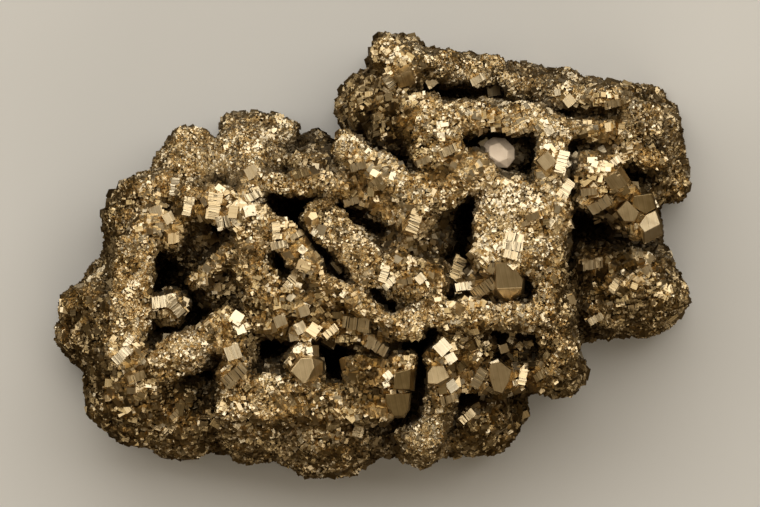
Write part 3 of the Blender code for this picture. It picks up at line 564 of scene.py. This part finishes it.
def add_lump(bm, lump):
    turn = Matrix.Rotation(math.radians(lump.turn), 4, "Z")
    matrix = Matrix.Translation(lump.middle) @ turn @ Matrix.Diagonal((*lump.radii, 1))
    bmesh.ops.create_icosphere(bm, subdivisions=4, radius=1.0, matrix=matrix)


def new_object(name, mesh):
    obj = bpy.data.objects.new(name, mesh)
    bpy.context.scene.collection.objects.link(obj)
    return obj


def bake_modifiers(obj):
    """Makes the object's shape what its modifiers show."""
    graph = bpy.context.evaluated_depsgraph_get()
    shape = bpy.data.meshes.new_from_object(obj.evaluated_get(graph))
    obj.modifiers.clear()
    obj.data = shape


def fuse(obj):
    remesh = obj.modifiers.new("fuse", "REMESH")
    remesh.mode = "VOXEL"
    remesh.voxel_size = VOXEL
    bake_modifiers(obj)


def keep_outer_skin(bm):
    """Leaves the largest of the skins that hang together and deletes those shut up inside it."""
    left = set(bm.verts)
    skins = []
    while left:
        skin, front = set(), [left.pop()]
        while front:
            vert = front.pop()
            skin.add(vert)
            near = {e.other_vert(vert) for e in vert.link_edges} & left
            left -= near
            front.extend(near)
        skins.append(skin)
    skins.sort(key=len)
    for skin in skins[:-1]:
        bmesh.ops.delete(bm, geom=list(skin), context="VERTS")


def roughen(bm):
    """Moves the skin out and in along its normals, by a coarse and a fine relief."""
    bm.normal_update()
    moves = []
    for vert in bm.verts:
        coarse = noise.noise(vert.co / LUMP_WAVE) * LUMP_HIGH
        fine = noise.noise(vert.co / GRAIN_WAVE + Vector(GRAIN_AWAY)) * GRAIN_HIGH
        moves.append(vert.normal * (coarse + fine) * 2)
    for vert, move in zip(bm.verts, moves):
        vert.co += move


def sink_clefts(bm):
    """Lowers the skin over each cleft to its floor, which curves up to the cleft's sides."""
    for cleft in CLEFTS.values():
        start, end = Vector(cleft.start), Vector(cleft.end)
        along = end - start
        for vert in bm.verts:
            place = vert.co.xy
            share = min(max((place - start).dot(along) / along.length_squared, 0), 1)
            off = (place - start - along * share).length / (cleft.wide / 2)
            if off < 1:
                vert.co.z = min(vert.co.z, cleft.floor + CLEFT_ROUND * off * off)


def fused_skin():
    """The blades and lumps as one skin, in millimetres."""
    bm = bmesh.new()
    for blade in BLADES.values():
        add_blade(bm, blade)
    for lump in LUMPS.values():
        add_lump(bm, lump)
    mesh = bpy.data.meshes.new("pyrite_skin")
    bm.to_mesh(mesh)
    bm.free()
    skin = new_object("pyrite_skin", mesh)
    fuse(skin)
    bm = bmesh.new()
    bm.from_mesh(skin.data)
    sink_clefts(bm)
    roughen(bm)
    bm.to_mesh(skin.data)
    bm.free()
    fuse(skin)
    bm = bmesh.new()
    bm.from_mesh(skin.data)
    keep_outer_skin(bm)
    everything = list(bm.verts) + list(bm.edges) + list(bm.faces)
    up = (0, 0, 1)
    cut = bmesh.ops.bisect_plane(bm, geom=everything, plane_co=(0, 0, 0), plane_no=up, clear_inner=True)
    rim = [e for e in cut["geom_cut"] if isinstance(e, bmesh.types.BMEdge)]
    bmesh.ops.triangle_fill(bm, use_beauty=True, edges=rim, normal=(0, 0, -1))
    bmesh.ops.triangulate(bm, faces=bm.faces)
    bm.to_mesh(skin.data)
    bm.free()
    return skin


def numbers(items, name, kind, wide):
    """One property of all the items of a mesh, as rows of so many numbers."""
    values = np.empty(len(items) * wide, kind)
    items.foreach_get(name, values)
    return values.reshape(-1, wide)


def shape_of(mesh):
    """The mesh's points, its triangles, and its points' normals."""
    mesh.calc_loop_triangles()
    points = numbers(mesh.vertices, "co", np.float32, 3)
    normals = numbers(mesh.vertices, "normal", np.float32, 3)
    return points, numbers(mesh.loop_triangles, "vertices", np.int32, 3), normals


class Relief:
    """The heights of the skin over a grid, as seen from above."""

    def __init__(self, points):
        self.low = points[:, :2].min(0) - RELIEF_MARGIN
        cells = np.ceil((points[:, :2].max(0) + RELIEF_MARGIN - self.low) / RELIEF_CELL).astype(int)
        self.heights = np.zeros(cells, np.float32)
        np.maximum.at(self.heights, tuple(self.cell(points[:, :2]).T), points[:, 2])

    def cell(self, places):
        return ((places - self.low) / RELIEF_CELL).astype(int)

    def under(self, points):
        """How far each point lies below the highest skin over its cell."""
        return self.heights[tuple(self.cell(points[:, :2]).T)] - points[:, 2]

    def shut_in(self, points):
        """How far what stands around each point shuts it in: 0 in the open, 1 down a shaft."""
        total = np.zeros(len(points))
        last = np.array(self.heights.shape) - 1
        for turn in np.arange(SHUT_TURNS) * 2 * math.pi / SHUT_TURNS:
            way = np.array([math.cos(turn), math.sin(turn)])
            highest = np.zeros(len(points))
            for reach in SHUT_REACHES:
                cell = np.clip(self.cell(points[:, :2] + way * reach), 0, last)
                rise = self.heights[tuple(cell.T)] - points[:, 2]
                highest = np.maximum(highest, np.arctan2(rise, reach))
            total += highest / (math.pi / 2)
        return total / SHUT_TURNS


def turns_of(quaternions):
    """The matrix of each turn, given as (w, x, y, z)."""
    w, x, y, z = (quaternions / np.linalg.norm(quaternions, axis=1, keepdims=True)).T
    rows = [
        [1 - 2 * (y * y + z * z), 2 * (x * y - z * w), 2 * (x * z + y * w)],
        [2 * (x * y + z * w), 1 - 2 * (x * x + z * z), 2 * (y * z - x * w)],
        [2 * (x * z - y * w), 2 * (y * z + x * w), 1 - 2 * (x * x + y * y)],
    ]
    return np.array(rows).transpose(2, 0, 1)


# A box's corners and its six faces. LINES says, for each face, across which of the box's axes its growth
# lines follow one another.
CORNERS = np.array(list(product((-0.5, 0.5), repeat=3)))
FACES = np.array([(0, 1, 3, 2), (4, 6, 7, 5), (0, 4, 5, 1), (2, 3, 7, 6), (0, 2, 6, 4), (1, 5, 7, 3)])
LINES = np.array([1, 1, 2, 2, 0, 0])


class Boxes:
    """Boxes that will be one mesh, and the tone and depth that the colour of each follows."""

    def __init__(self):
        self.parts = []

    def add(self, middles, sides, turns, tones, depths):
        self.parts.append((middles, sides, turns, tones, depths))

    def mesh(self, name):
        """The boxes as a mesh, none of them below the cut."""
        middles, sides, turns, tones, depths = (np.concatenate(column) for column in zip(*self.parts))
        count = len(middles)
        local = CORNERS[None] * sides[:, None]
        points = middles[:, None] + np.einsum("nij,nkj->nki", turns, local)
        points[..., 2] = np.maximum(points[..., 2], 0)
        faces = (np.arange(count)[:, None, None] * 8 + FACES[None]).reshape(-1, 4)
        mesh = mesh_of(name, points.reshape(-1, 3), faces)
        axes = np.broadcast_to(LINES[None, :, None, None], (count, 6, 4, 1))
        lines = np.take_along_axis(local[:, FACES, :], axes, 3)[..., 0]
        write(mesh, "lines", "CORNER", (lines + tones[:, None, None] * LINES_APART).reshape(-1))
        write(mesh, "tone", "POINT", np.repeat(tones, 8))
        write(mesh, "fine", "POINT", np.repeat(fineness(sides.max(axis=1)), 8))
        write(mesh, "depth", "POINT", np.repeat(depths, 8))
        return mesh


def mesh_of(name, points, faces):
    """A mesh from points in millimetres, measured from the tables' origin, and faces of four corners."""
    mesh = bpy.data.meshes.new(name)
    mesh.vertices.add(len(points))
    moved = (points - (MIDDLE_X, MIDDLE_Y, 0)) * MM
    mesh.vertices.foreach_set("co", moved.astype(np.float32).reshape(-1))
    mesh.loops.add(faces.size)
    mesh.loops.foreach_set("vertex_index", faces.astype(np.int32).reshape(-1))
    mesh.polygons.add(len(faces))
    starts = np.arange(len(faces)) * faces.shape[1]
    mesh.polygons.foreach_set("loop_start", starts.astype(np.int32))
    mesh.update(calc_edges=True)
    mesh.shade_flat()
    return mesh


def fineness(sizes):
    """1 for the sugary smallest crystals, and 0 for those with flat clean faces."""
    return np.clip((CLEAN_FROM - sizes) / (CLEAN_FROM - SUGARY_TO), 0, 1)


def write(mesh, name, domain, values):
    """Adds an attribute for the materials to read, with a number for each item of the domain."""
    attribute = mesh.attributes.new(name, "FLOAT", domain)
    attribute.data.foreach_set("value", values.astype(np.float32))


def grain_sizes(points, relief):
    """The usual size of the druse's crystals at each point: coarse in patches, fine on the rest of what
    lies open, and middling on the steep walls under it."""
    sizes = np.full(len(points), FINE_GRAIN)
    for x, y, reach, size in COARSE_DRUSE:
        away = np.hypot(points[:, 0] - x, points[:, 1] - y)
        near = np.exp(-((away / reach) ** 2))
        sizes = np.maximum(sizes, FINE_GRAIN + (size - FINE_GRAIN) * near)
    under = np.clip((relief.under(points) - SIDE_FROM) / SIDE_OVER, 0, 1)
    return np.maximum(sizes, FINE_GRAIN + (SIDE_GRAIN - FINE_GRAIN) * under)


def painted_light_at(places, normals):
    """Painted light and shade in the druse's tone: by slope to the key light, and at the listed places.
    """
    tones = SLOPE_TONE * (normals @ np.array(Vector(KEY_LIGHT_WAY).normalized()) - SLOPE_USUAL)
    for start, end, reach, change in PAINTED_LIGHT_AND_SHADE:
        start, along = np.array(start), np.array(end) - np.array(start)
        share = np.clip((places[:, :2] - start) @ along / (along @ along), 0, 1)
        away = np.linalg.norm(places[:, :2] - start - share[:, None] * along, axis=1)
        tones += change * np.exp(-((away / reach) ** 2))
    return tones


def spread_out(places, sizes):
    """The indices of the places left once each crystal, in their order, has cleared its room."""
    tree = KDTree(len(places))
    for number, place in enumerate(places.tolist()):
        tree.insert(place, number)
    tree.balance()
    taken = np.zeros(len(places), bool)
    kept = []
    wide = (sizes * GRAIN_SPACING).tolist()
    points = places.tolist()
    for number, place in enumerate(points):
        if taken[number]:
            continue
        kept.append(number)
        own = wide[number]
        for _, other, away in tree.find_range(place, own * ROOM_REACH):
            if away < (own + wide[other]) / 2:
                taken[other] = True
    return np.array(kept)


def scatter(points, triangles, rng):
    """Places on the skin, in random order, with the normal of the skin at each."""
    a, b, c = (points[triangles[:, k]] for k in range(3))
    crosses = np.cross(b - a, c - a)
    areas = np.linalg.norm(crosses, axis=1)
    in_cut = (a[:, 2] < NEAR_CUT) & (b[:, 2] < NEAR_CUT) & (c[:, 2] < NEAR_CUT)
    areas[in_cut] = 0
    picked = rng.choice(len(triangles), CANDIDATES, p=areas / areas.sum())
    u, v = rng.random((2, CANDIDATES))
    over = u + v > 1
    u[over], v[over] = 1 - u[over], 1 - v[over]
    places = a[picked] + (b - a)[picked] * u[:, None] + (c - a)[picked] * v[:, None]
    normals = crosses[picked] / np.linalg.norm(crosses[picked], axis=1, keepdims=True)
    return places, normals


def nearest_patch(places, rng):
    """For each place, the number of the patch of druse it belongs to."""
    middles = places[rng.choice(len(places), PATCHES, replace=False)]
    tree = KDTree(PATCHES)
    for number, middle in enumerate(middles):
        tree.insert(middle, number)
    tree.balance()
    return np.array([tree.find(place)[1] for place in places])


def druse_seats(points, triangles, relief, seats, rng):
    """Where the druse's crystals sit on the skin: the places, the normals and the sizes."""
    places, normals = scatter(points, triangles, rng)
    usual = grain_sizes(places, relief)
    sizes = np.minimum(usual * np.exp(rng.normal(0, GRAIN_SPREAD, len(places))), MOST_GRAIN)
    tried = rng.random(len(places)) < (FINE_GRAIN / usual) ** 2
    tried &= places[:, 2] > OFF_CUT * sizes
    for crystal, seat in seats:
        tried &= np.linalg.norm(places - np.array(seat), axis=1) > CLEAR * crystal.size
    for block in BLOCKS:
        tried &= np.hypot(places[:, 0] - block.x, places[:, 1] - block.y) > BLOCK_CLEAR
    tried = np.flatnonzero(tried)
    kept = tried[spread_out(places[tried], sizes[tried])]
    return places[kept], normals[kept], sizes[kept]


def grown_druse(places, normals, sizes, relief, rng):
    """The druse's crystals as boxes, in pieces from west to east."""
    count = len(places)
    patches = nearest_patch(places, rng)
    own = rng.normal(size=(count, 4))
    shared = rng.normal(size=(PATCHES, 4))
    shared /= np.linalg.norm(shared, axis=1, keepdims=True)
    in_step = rng.random(count) < IN_STEP
    quaternions = np.where(in_step[:, None], shared[patches] + own * OUT_OF_STEP, own)
    drawn = rng.normal(0, SIDE_SPREAD, (count, 3)).clip(LEAST_DRAWN, MOST_DRAWN)
    sides = sizes[:, None] * np.exp(drawn)
    sits = rng.uniform(*GRAIN_SITS, count)
    heaps = np.array([noise.noise(Vector(place) / HEAP_WAVE) for place in places]) * HEAP_HIGH
    middles = places + normals * (sits * sizes + heaps)[:, None]
    tones = rng.normal(0, GRAIN_TONE, count) + rng.normal(0, PATCH_TONE, PATCHES)[patches]
    # the druse's own random tone, with the painted light and shade added
    tones = np.clip(tones + painted_light_at(places, normals), *TONES)
    columns = (middles, sides, turns_of(quaternions), tones, relief.shut_in(places))
    pieces = []
    for members in np.array_split(np.argsort(places[:, 0]), DRUSE_PIECES):
        boxes = Boxes()
        boxes.add(*(column[members] for column in columns))
        pieces.append(boxes)
    return pieces


def ground_under(tree, x, y):
    """The place of the skin first met from above."""
    return tree.ray_cast(Vector((x, y, HIGH_ABOVE)), Vector((0, 0, -1)))[0]


def seated_crystals(tree):
    """Each larger crystal with the place of its middle, close above the skin."""
    seats = []
    for crystal in CRYSTALS:
        above = Vector((0, 0, CRYSTAL_SITS * crystal.size))
        seats.append((crystal, ground_under(tree, crystal.x, crystal.y) + above))
    return seats


def ledges(crystal, rng):
    """The blocks of a crystal, as middles, sides and tilts, in shares of its size: slabs that lie on one
    another and don't quite match, and smaller blocks that grew out of its corners the same way round."""
    striated = crystal.habit == "bar"
    whole = np.array(BAR_SIDES if striated else CUBE_SIDES)
    count = max(LEAST_SLABS, round(crystal.size * whole[0] / (SLAB if striated else 2 * SLAB)))
    inner = (np.arange(1, count) + rng.uniform(-SLAB_UNEVEN, SLAB_UNEVEN, count - 1)) / count
    edges = np.concatenate(([0], inner, [1]))
    middles, sides = [], []
    for low, high in zip(edges, edges[1:]):
        left, right, front, back = rng.uniform(0, SLAB_INSET, 4)
        middles.append((((low + high) / 2 - 0.5) * whole[0], (left - right) / 2, (front - back) / 2))
        long = (high - low) * whole[0] + SLAB_OVERLAP
        sides.append((long, whole[1] - left - right, whole[2] - front - back))
    tilts = rng.normal(0, BAR_TILT if striated else CUBE_TILT, (count, 3))
    grown = 3 if crystal.size > MUCH_GROWN_FROM else 2
    for _ in range(grown):
        share = rng.uniform(*GROWN_SIDES, 3) * whole
        corner = rng.choice((-1.0, 1.0), 3)
        middles.append(corner * (whole - share) / 2 + corner * rng.uniform(0.0, GROWN_OUT, 3))
        sides.append(share)
    tilts = np.concatenate([tilts, rng.normal(0, GROWN_TILT, (grown, 3))])
    return np.array(middles), np.array(sides), tilts


def turned(crystal):
    """The turn of a larger crystal, as a matrix."""
    return Euler([math.radians(turn) for turn in crystal.turns]).to_matrix()


def crystal_boxes(seats, relief, rng):
    """The larger crystals that are cubes and bars."""
    boxes = Boxes()
    for crystal, seat in seats:
        if crystal.habit == "pyritohedron":
            continue
        middles, sides, tilts = ledges(crystal, rng)
        turn = np.array(turned(crystal))
        count = len(middles)
        # the crystal's share of the tarnish and painted shade of hollows
        depth = relief.shut_in(np.array(seat)[None])[0] * OPEN_SHARE
        tilted = turns_of(np.concatenate([np.ones((count, 1)), tilts / 2], axis=1))
        boxes.add(
            np.array(seat) + middles @ turn.T * crystal.size,
            sides * crystal.size,
            turn[None] @ tilted,
            np.full(count, crystal.tone) + rng.normal(0, SLAB_TONE, count),
            np.full(count, depth),
        )
    return boxes


def pyritohedron_points():
    """The corners of a pyritohedron: a cube's eight, and the ends of a ridge over each of its faces."""
    points = [Vector(p) for p in product((-1, 1), repeat=3)]
    for ridge, side in product((-1, 1), repeat=2):
        end, rise = side * (1 - RIDGE * RIDGE), ridge * (1 + RIDGE)
        points += [Vector((0, rise, end)), Vector((rise, end, 0)), Vector((end, 0, rise))]
    return points


def faceted(whole, corners, tone, place):
    """Adds to whole the crystal with these corners, measured from its middle, moved by place."""
    bm = bmesh.new()
    bmesh.ops.convex_hull(bm, input=[bm.verts.new(corner) for corner in corners])
    bmesh.ops.delete(bm, geom=[v for v in bm.verts if not v.link_faces], context="VERTS")
    bmesh.ops.dissolve_limit(bm, angle_limit=FACET_FLAT, verts=bm.verts, edges=bm.edges)
    bmesh.ops.bevel(bm, geom=list(bm.edges), offset=EDGE_WORN, segments=1, affect="EDGES")
    tones = bm.verts.layers.float.new("tone")
    lines = bm.verts.layers.float.new("lines")
    for vert in bm.verts:
        vert[tones] = tone
        vert[lines] = vert.co.x + vert.co.y * BLOCK_LINES_SLANT
    bm.transform(Matrix.Scale(MM, 4) @ Matrix.Translation((-MIDDLE_X, -MIDDLE_Y, 0)) @ place)
    bmesh.ops.recalc_face_normals(bm, faces=bm.faces)
    single = bpy.data.meshes.new("faceted_crystal")
    bm.to_mesh(single)
    bm.free()
    whole.from_mesh(single)


def faceted_crystals(seats, tree):
    """The blocks, and the larger crystals with twelve five-sided faces, as one mesh."""
    whole = bmesh.new()
    for crystal, seat in seats:
        if crystal.habit == "pyritohedron":
            corners = [corner * crystal.size / (2 + 2 * RIDGE) for corner in pyritohedron_points()]
            faceted(whole, corners, crystal.tone, Matrix.Translation(seat) @ turned(crystal).to_4x4())
    for block in BLOCKS:
        seat = ground_under(tree, block.x, block.y) + Vector((0, 0, BLOCK_SITS))
        faceted(whole, block.corners, block.tone, Matrix.Translation(seat))
    mesh = bpy.data.meshes.new("faceted_crystals")
    whole.to_mesh(mesh)
    whole.free()
    write(mesh, "depth", "POINT", np.zeros(len(mesh.vertices)))
    write(mesh, "fine", "POINT", np.zeros(len(mesh.vertices)))
    mesh.shade_flat()
    return mesh


class Field:
    """The output of a material's node. Arithmetic on fields adds Math nodes."""

    def __init__(self, tree, socket=None):
        self.tree = tree
        self.socket = socket

    def node(self, kind, settings, inputs, output=0):
        """Adds a node of that kind, with its settings and then its sockets' values or links."""
        made = self.tree.nodes.new(kind)
        for name, value in settings.items():
            setattr(made, name, value)
        for name, value in inputs.items():
            if isinstance(value, Field):
                self.tree.links.new(value.socket, made.inputs[name])
            else:
                made.inputs[name].default_value = value
        return Field(self.tree, made.outputs[output])

    def math(self, operation, *values):
        """A Math node on these fields or numbers."""
        return self.node("ShaderNodeMath", {"operation": operation}, dict(enumerate(values)))

    def __add__(self, other):
        return self.math("ADD", self, other)

    def __sub__(self, other):
        return self.math("SUBTRACT", self, other)

    def __rsub__(self, other):
        return self.math("SUBTRACT", other, self)

    def __mul__(self, other):
        return self.math("MULTIPLY", self, other)

    __radd__ = __add__
    __rmul__ = __mul__

    def vector(self, operation, *values):
        """Vector Math on this. A SCALE takes a number, and the others a vector."""
        names = ["Vector", "Scale"] if operation == "SCALE" else [0, 1]
        inputs = dict(zip(names, (self, *values)))
        return self.node("ShaderNodeVectorMath", {"operation": operation}, inputs)

    def between(self, low, high):
        """0 where this is below low, 1 above high, and a straight ramp from the one to the other."""
        inputs = {"Value": self, "From Min": low, "From Max": high}
        return self.node("ShaderNodeMapRange", {"clamp": True}, inputs)

    def tint(self, color, other):
        """color where this is 0, and other where it is 1."""
        settings = {"data_type": "RGBA", "clamp_factor": True}
        return self.node("ShaderNodeMix", settings, {0: self, 6: color, 7: other}, 2)


def pyrite_material(name, ground=0.0):
    """ground, from 0 to 1, is how far the surface is the ground between crystals, with more painted
    shade.
    """
    material = bpy.data.materials.new(name)
    material.use_nodes = True
    tree = material.node_tree
    shader = tree.nodes["Principled BSDF"]
    start = Field(tree)
    place = start.node("ShaderNodeTexCoord", {}, {}, "Object")

    def written(name):
        return start.node("ShaderNodeAttribute", {"attribute_name": name}, {}, "Fac")

    def cloud(scale, detail):
        return start.node("ShaderNodeTexNoise", {}, {"Vector": place, "Scale": scale, "Detail": detail})

    tone, depth, lines, fine = written("tone"), written("depth"), written("lines"), written("fine")
    blotch = cloud(BLOTCH_SCALE, 2.0)
    speckle = cloud(SPECKLE_SCALE, 3.0)
    across = {"W": lines * STRIPES, "Scale": 1.0, "Detail": 1.0}
    stripe = start.node("ShaderNodeTexNoise", {"noise_dimensions": "1D"}, across)
    shade = tone + (blotch - 0.5) * 0.3 + (stripe - 0.5) * 0.6 + (speckle - 0.5) * 0.3
    matte = tone.between(0.94, 1.0)
    color = shade.between(-1.0, -0.5).tint(DARK, BRONZE)
    color = shade.between(-0.5, 0.1).tint(color, BRASS)
    color = shade.between(0.1, 0.7).tint(color, BRIGHT)
    color = matte.tint(color, PALE)
    # Tarnish and painted shade: near black where shut in, and more on the ground between crystals.
    tarnish_and_shade = depth + (blotch - 0.5) * 0.3 + (speckle - 0.5) * 0.2 + ground * 0.25 - matte * 0.5
    tarnish_and_shade = tarnish_and_shade.between(0.25, 0.75)
    color = (tarnish_and_shade * 0.9).tint(color, TARNISH_AND_SHADE)
    rough = 0.32 + (speckle - 0.5) * 0.2 + tarnish_and_shade * 0.25 + matte * 0.2
    metallic = 1.0 - matte * 0.5

    facets = start.node("ShaderNodeTexVoronoi", {}, {"Vector": place, "Scale": 1 / (FACET * MM)}, "Color")
    tilt = facets.vector("SUBTRACT", (0.5, 0.5, 0.5)).vector("SCALE", fine * FACET_TILT)
    normal = start.node("ShaderNodeNewGeometry", {}, {}, "Normal").vector("ADD", tilt).vector("NORMALIZE")
    bumped = {"Height": stripe, "Strength": 0.4, "Distance": STRIPE_HIGH, "Normal": normal}
    bump = start.node("ShaderNodeBump", {}, bumped)
    finish = {"Base Color": color, "Roughness": rough, "Metallic": metallic, "Normal": bump}
    for socket, field in finish.items():
        tree.links.new(field.socket, shader.inputs[socket])
    return material


def floor_material():
    material = bpy.data.materials.new("floor")
    material.use_nodes = True
    shader = material.node_tree.nodes["Principled BSDF"]
    shader.inputs["Base Color"].default_value = FLOOR_COLOR
    shader.inputs["Roughness"].default_value = 0.9
    shader.inputs["Specular IOR Level"].default_value = 0.1
    return material


def place_piece(name, mesh, material):
    """Makes the mesh a piece that stands for the specimen's node."""
    obj = new_object(name, mesh)
    mesh.materials.clear()
    mesh.materials.append(material)
    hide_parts(NODE)
    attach(obj, BODY)


def sunk_skin(skin, relief):
    """The skin's mesh, a little below the solid's surface. The skin's object goes."""
    points, _, normals = shape_of(skin.data)
    points = points - normals * SKIN_SUNK * (points[:, 2:] > NEAR_CUT)
    points[:, 2] = np.maximum(points[:, 2], 0)
    skin.data.vertices.foreach_set("co", points.astype(np.float32).reshape(-1))
    facets = skin.modifiers.new("facets", "DECIMATE")
    facets.ratio = min(1.0, SKIN_TRIANGLES / len(skin.data.polygons))
    bake_modifiers(skin)
    mesh = skin.data
    bpy.data.objects.remove(skin)
    points, _, _ = shape_of(mesh)
    write(mesh, "depth", "POINT", relief.shut_in(points))
    # the skin, seen only between the crystals, is darker there: painted shade
    write(mesh, "tone", "POINT", np.full(len(points), SKIN_TONE))
    write(mesh, "fine", "POINT", np.ones(len(points)))
    write(mesh, "lines", "POINT", points[:, 2])
    mesh.shade_flat()
    mesh.transform(Matrix.Scale(MM, 4) @ Matrix.Translation((-MIDDLE_X, -MIDDLE_Y, 0)))
    return mesh


def add_softbox(name, softbox):
    light = bpy.data.lights.new(name, "AREA")
    light.shape = "RECTANGLE"
    light.size, light.size_y = softbox.wide, softbox.high
    light.energy = softbox.power
    light.color = softbox.color
    obj = new_object(name, light)
    way = Vector(softbox.way).normalized()
    turn = way.to_track_quat("Z", "Y").to_matrix().to_4x4()
    obj.matrix_world = Matrix.Translation(way * softbox.away) @ turn


def set_world():
    """The studio: what the specimen mirrors, by how high a direction looks, and what lies behind it."""
    world = bpy.data.worlds.new("studio")
    bpy.context.scene.world = world
    world.use_nodes = True
    tree = world.node_tree
    tree.nodes.clear()
    start = Field(tree)
    way = start.node("ShaderNodeTexCoord", {}, {}, "Generated")
    up = start.node("ShaderNodeSeparateXYZ", {}, {"Vector": way}, "Z")
    glow = up.between(-0.3, 0.55).tint(GLOW_BELOW, GLOW_ASIDE)
    glow = up.between(0.55, 1.0).tint(glow, GLOW_ABOVE)
    seen = start.node("ShaderNodeLightPath", {}, {}, "Is Camera Ray")
    color = seen.tint(glow, BACKDROP)
    light = start.node("ShaderNodeBackground", {}, {"Color": color, "Strength": 1.0}, "Background")
    out = tree.nodes.new("ShaderNodeOutputWorld")
    tree.links.new(light.socket, out.inputs["Surface"])


def set_camera():
    """The camera, so far above that it sees the specimen without perspective."""
    camera = bpy.data.cameras.new("camera")
    camera.sensor_width = FILM_WIDE
    camera.lens = FILM_WIDE * (CAMERA_HIGH - CREST_HIGH) / VIEW_WIDE
    camera.clip_end = 50
    obj = new_object("camera", camera)
    obj.location = Vector((VIEW_X - MIDDLE_X, VIEW_Y - MIDDLE_Y, CAMERA_HIGH)) * MM
    bpy.context.scene.camera = obj


def add_floor():
    corners = [(x * FLOOR_HALF, y * FLOOR_HALF, 0) for x, y in ((-1, -1), (1, -1), (1, 1), (-1, 1))]
    mesh = bpy.data.meshes.new("floor")
    mesh.from_pydata(corners, [], [(0, 1, 2, 3)])
    mesh.materials.append(floor_material())
    floor = new_object("floor", mesh)
    floor.visible_glossy = False


def main():
    rng = np.random.default_rng(SEED)
    skin = fused_skin()
    points, triangles, _ = shape_of(skin.data)
    tree = BVHTree.FromPolygons(points.tolist(), triangles.tolist())
    relief = Relief(points)
    seats = seated_crystals(tree)
    pyrite = pyrite_material("pyrite")
    # the skin's finish, with more painted shade between the crystals
    ground = pyrite_material("pyrite_ground", 1.0)

    places, normals, sizes = druse_seats(points, triangles, relief, seats, rng)
    for number, boxes in enumerate(grown_druse(places, normals, sizes, relief, rng), 1):
        place_piece(f"druse_{number}", boxes.mesh(f"druse_{number}"), pyrite)
    place_piece("stepped_crystals", crystal_boxes(seats, relief, rng).mesh("stepped_crystals"), pyrite)
    place_piece("faceted_crystals", faceted_crystals(seats, tree), pyrite)
    place_piece("crusted_blades", sunk_skin(skin, relief), ground)

    add_floor()
    for name, softbox in LIGHTS.items():
        add_softbox(name, softbox)
    set_world()
    set_camera()
    bpy.context.scene.view_settings.view_transform = "Standard"


main()
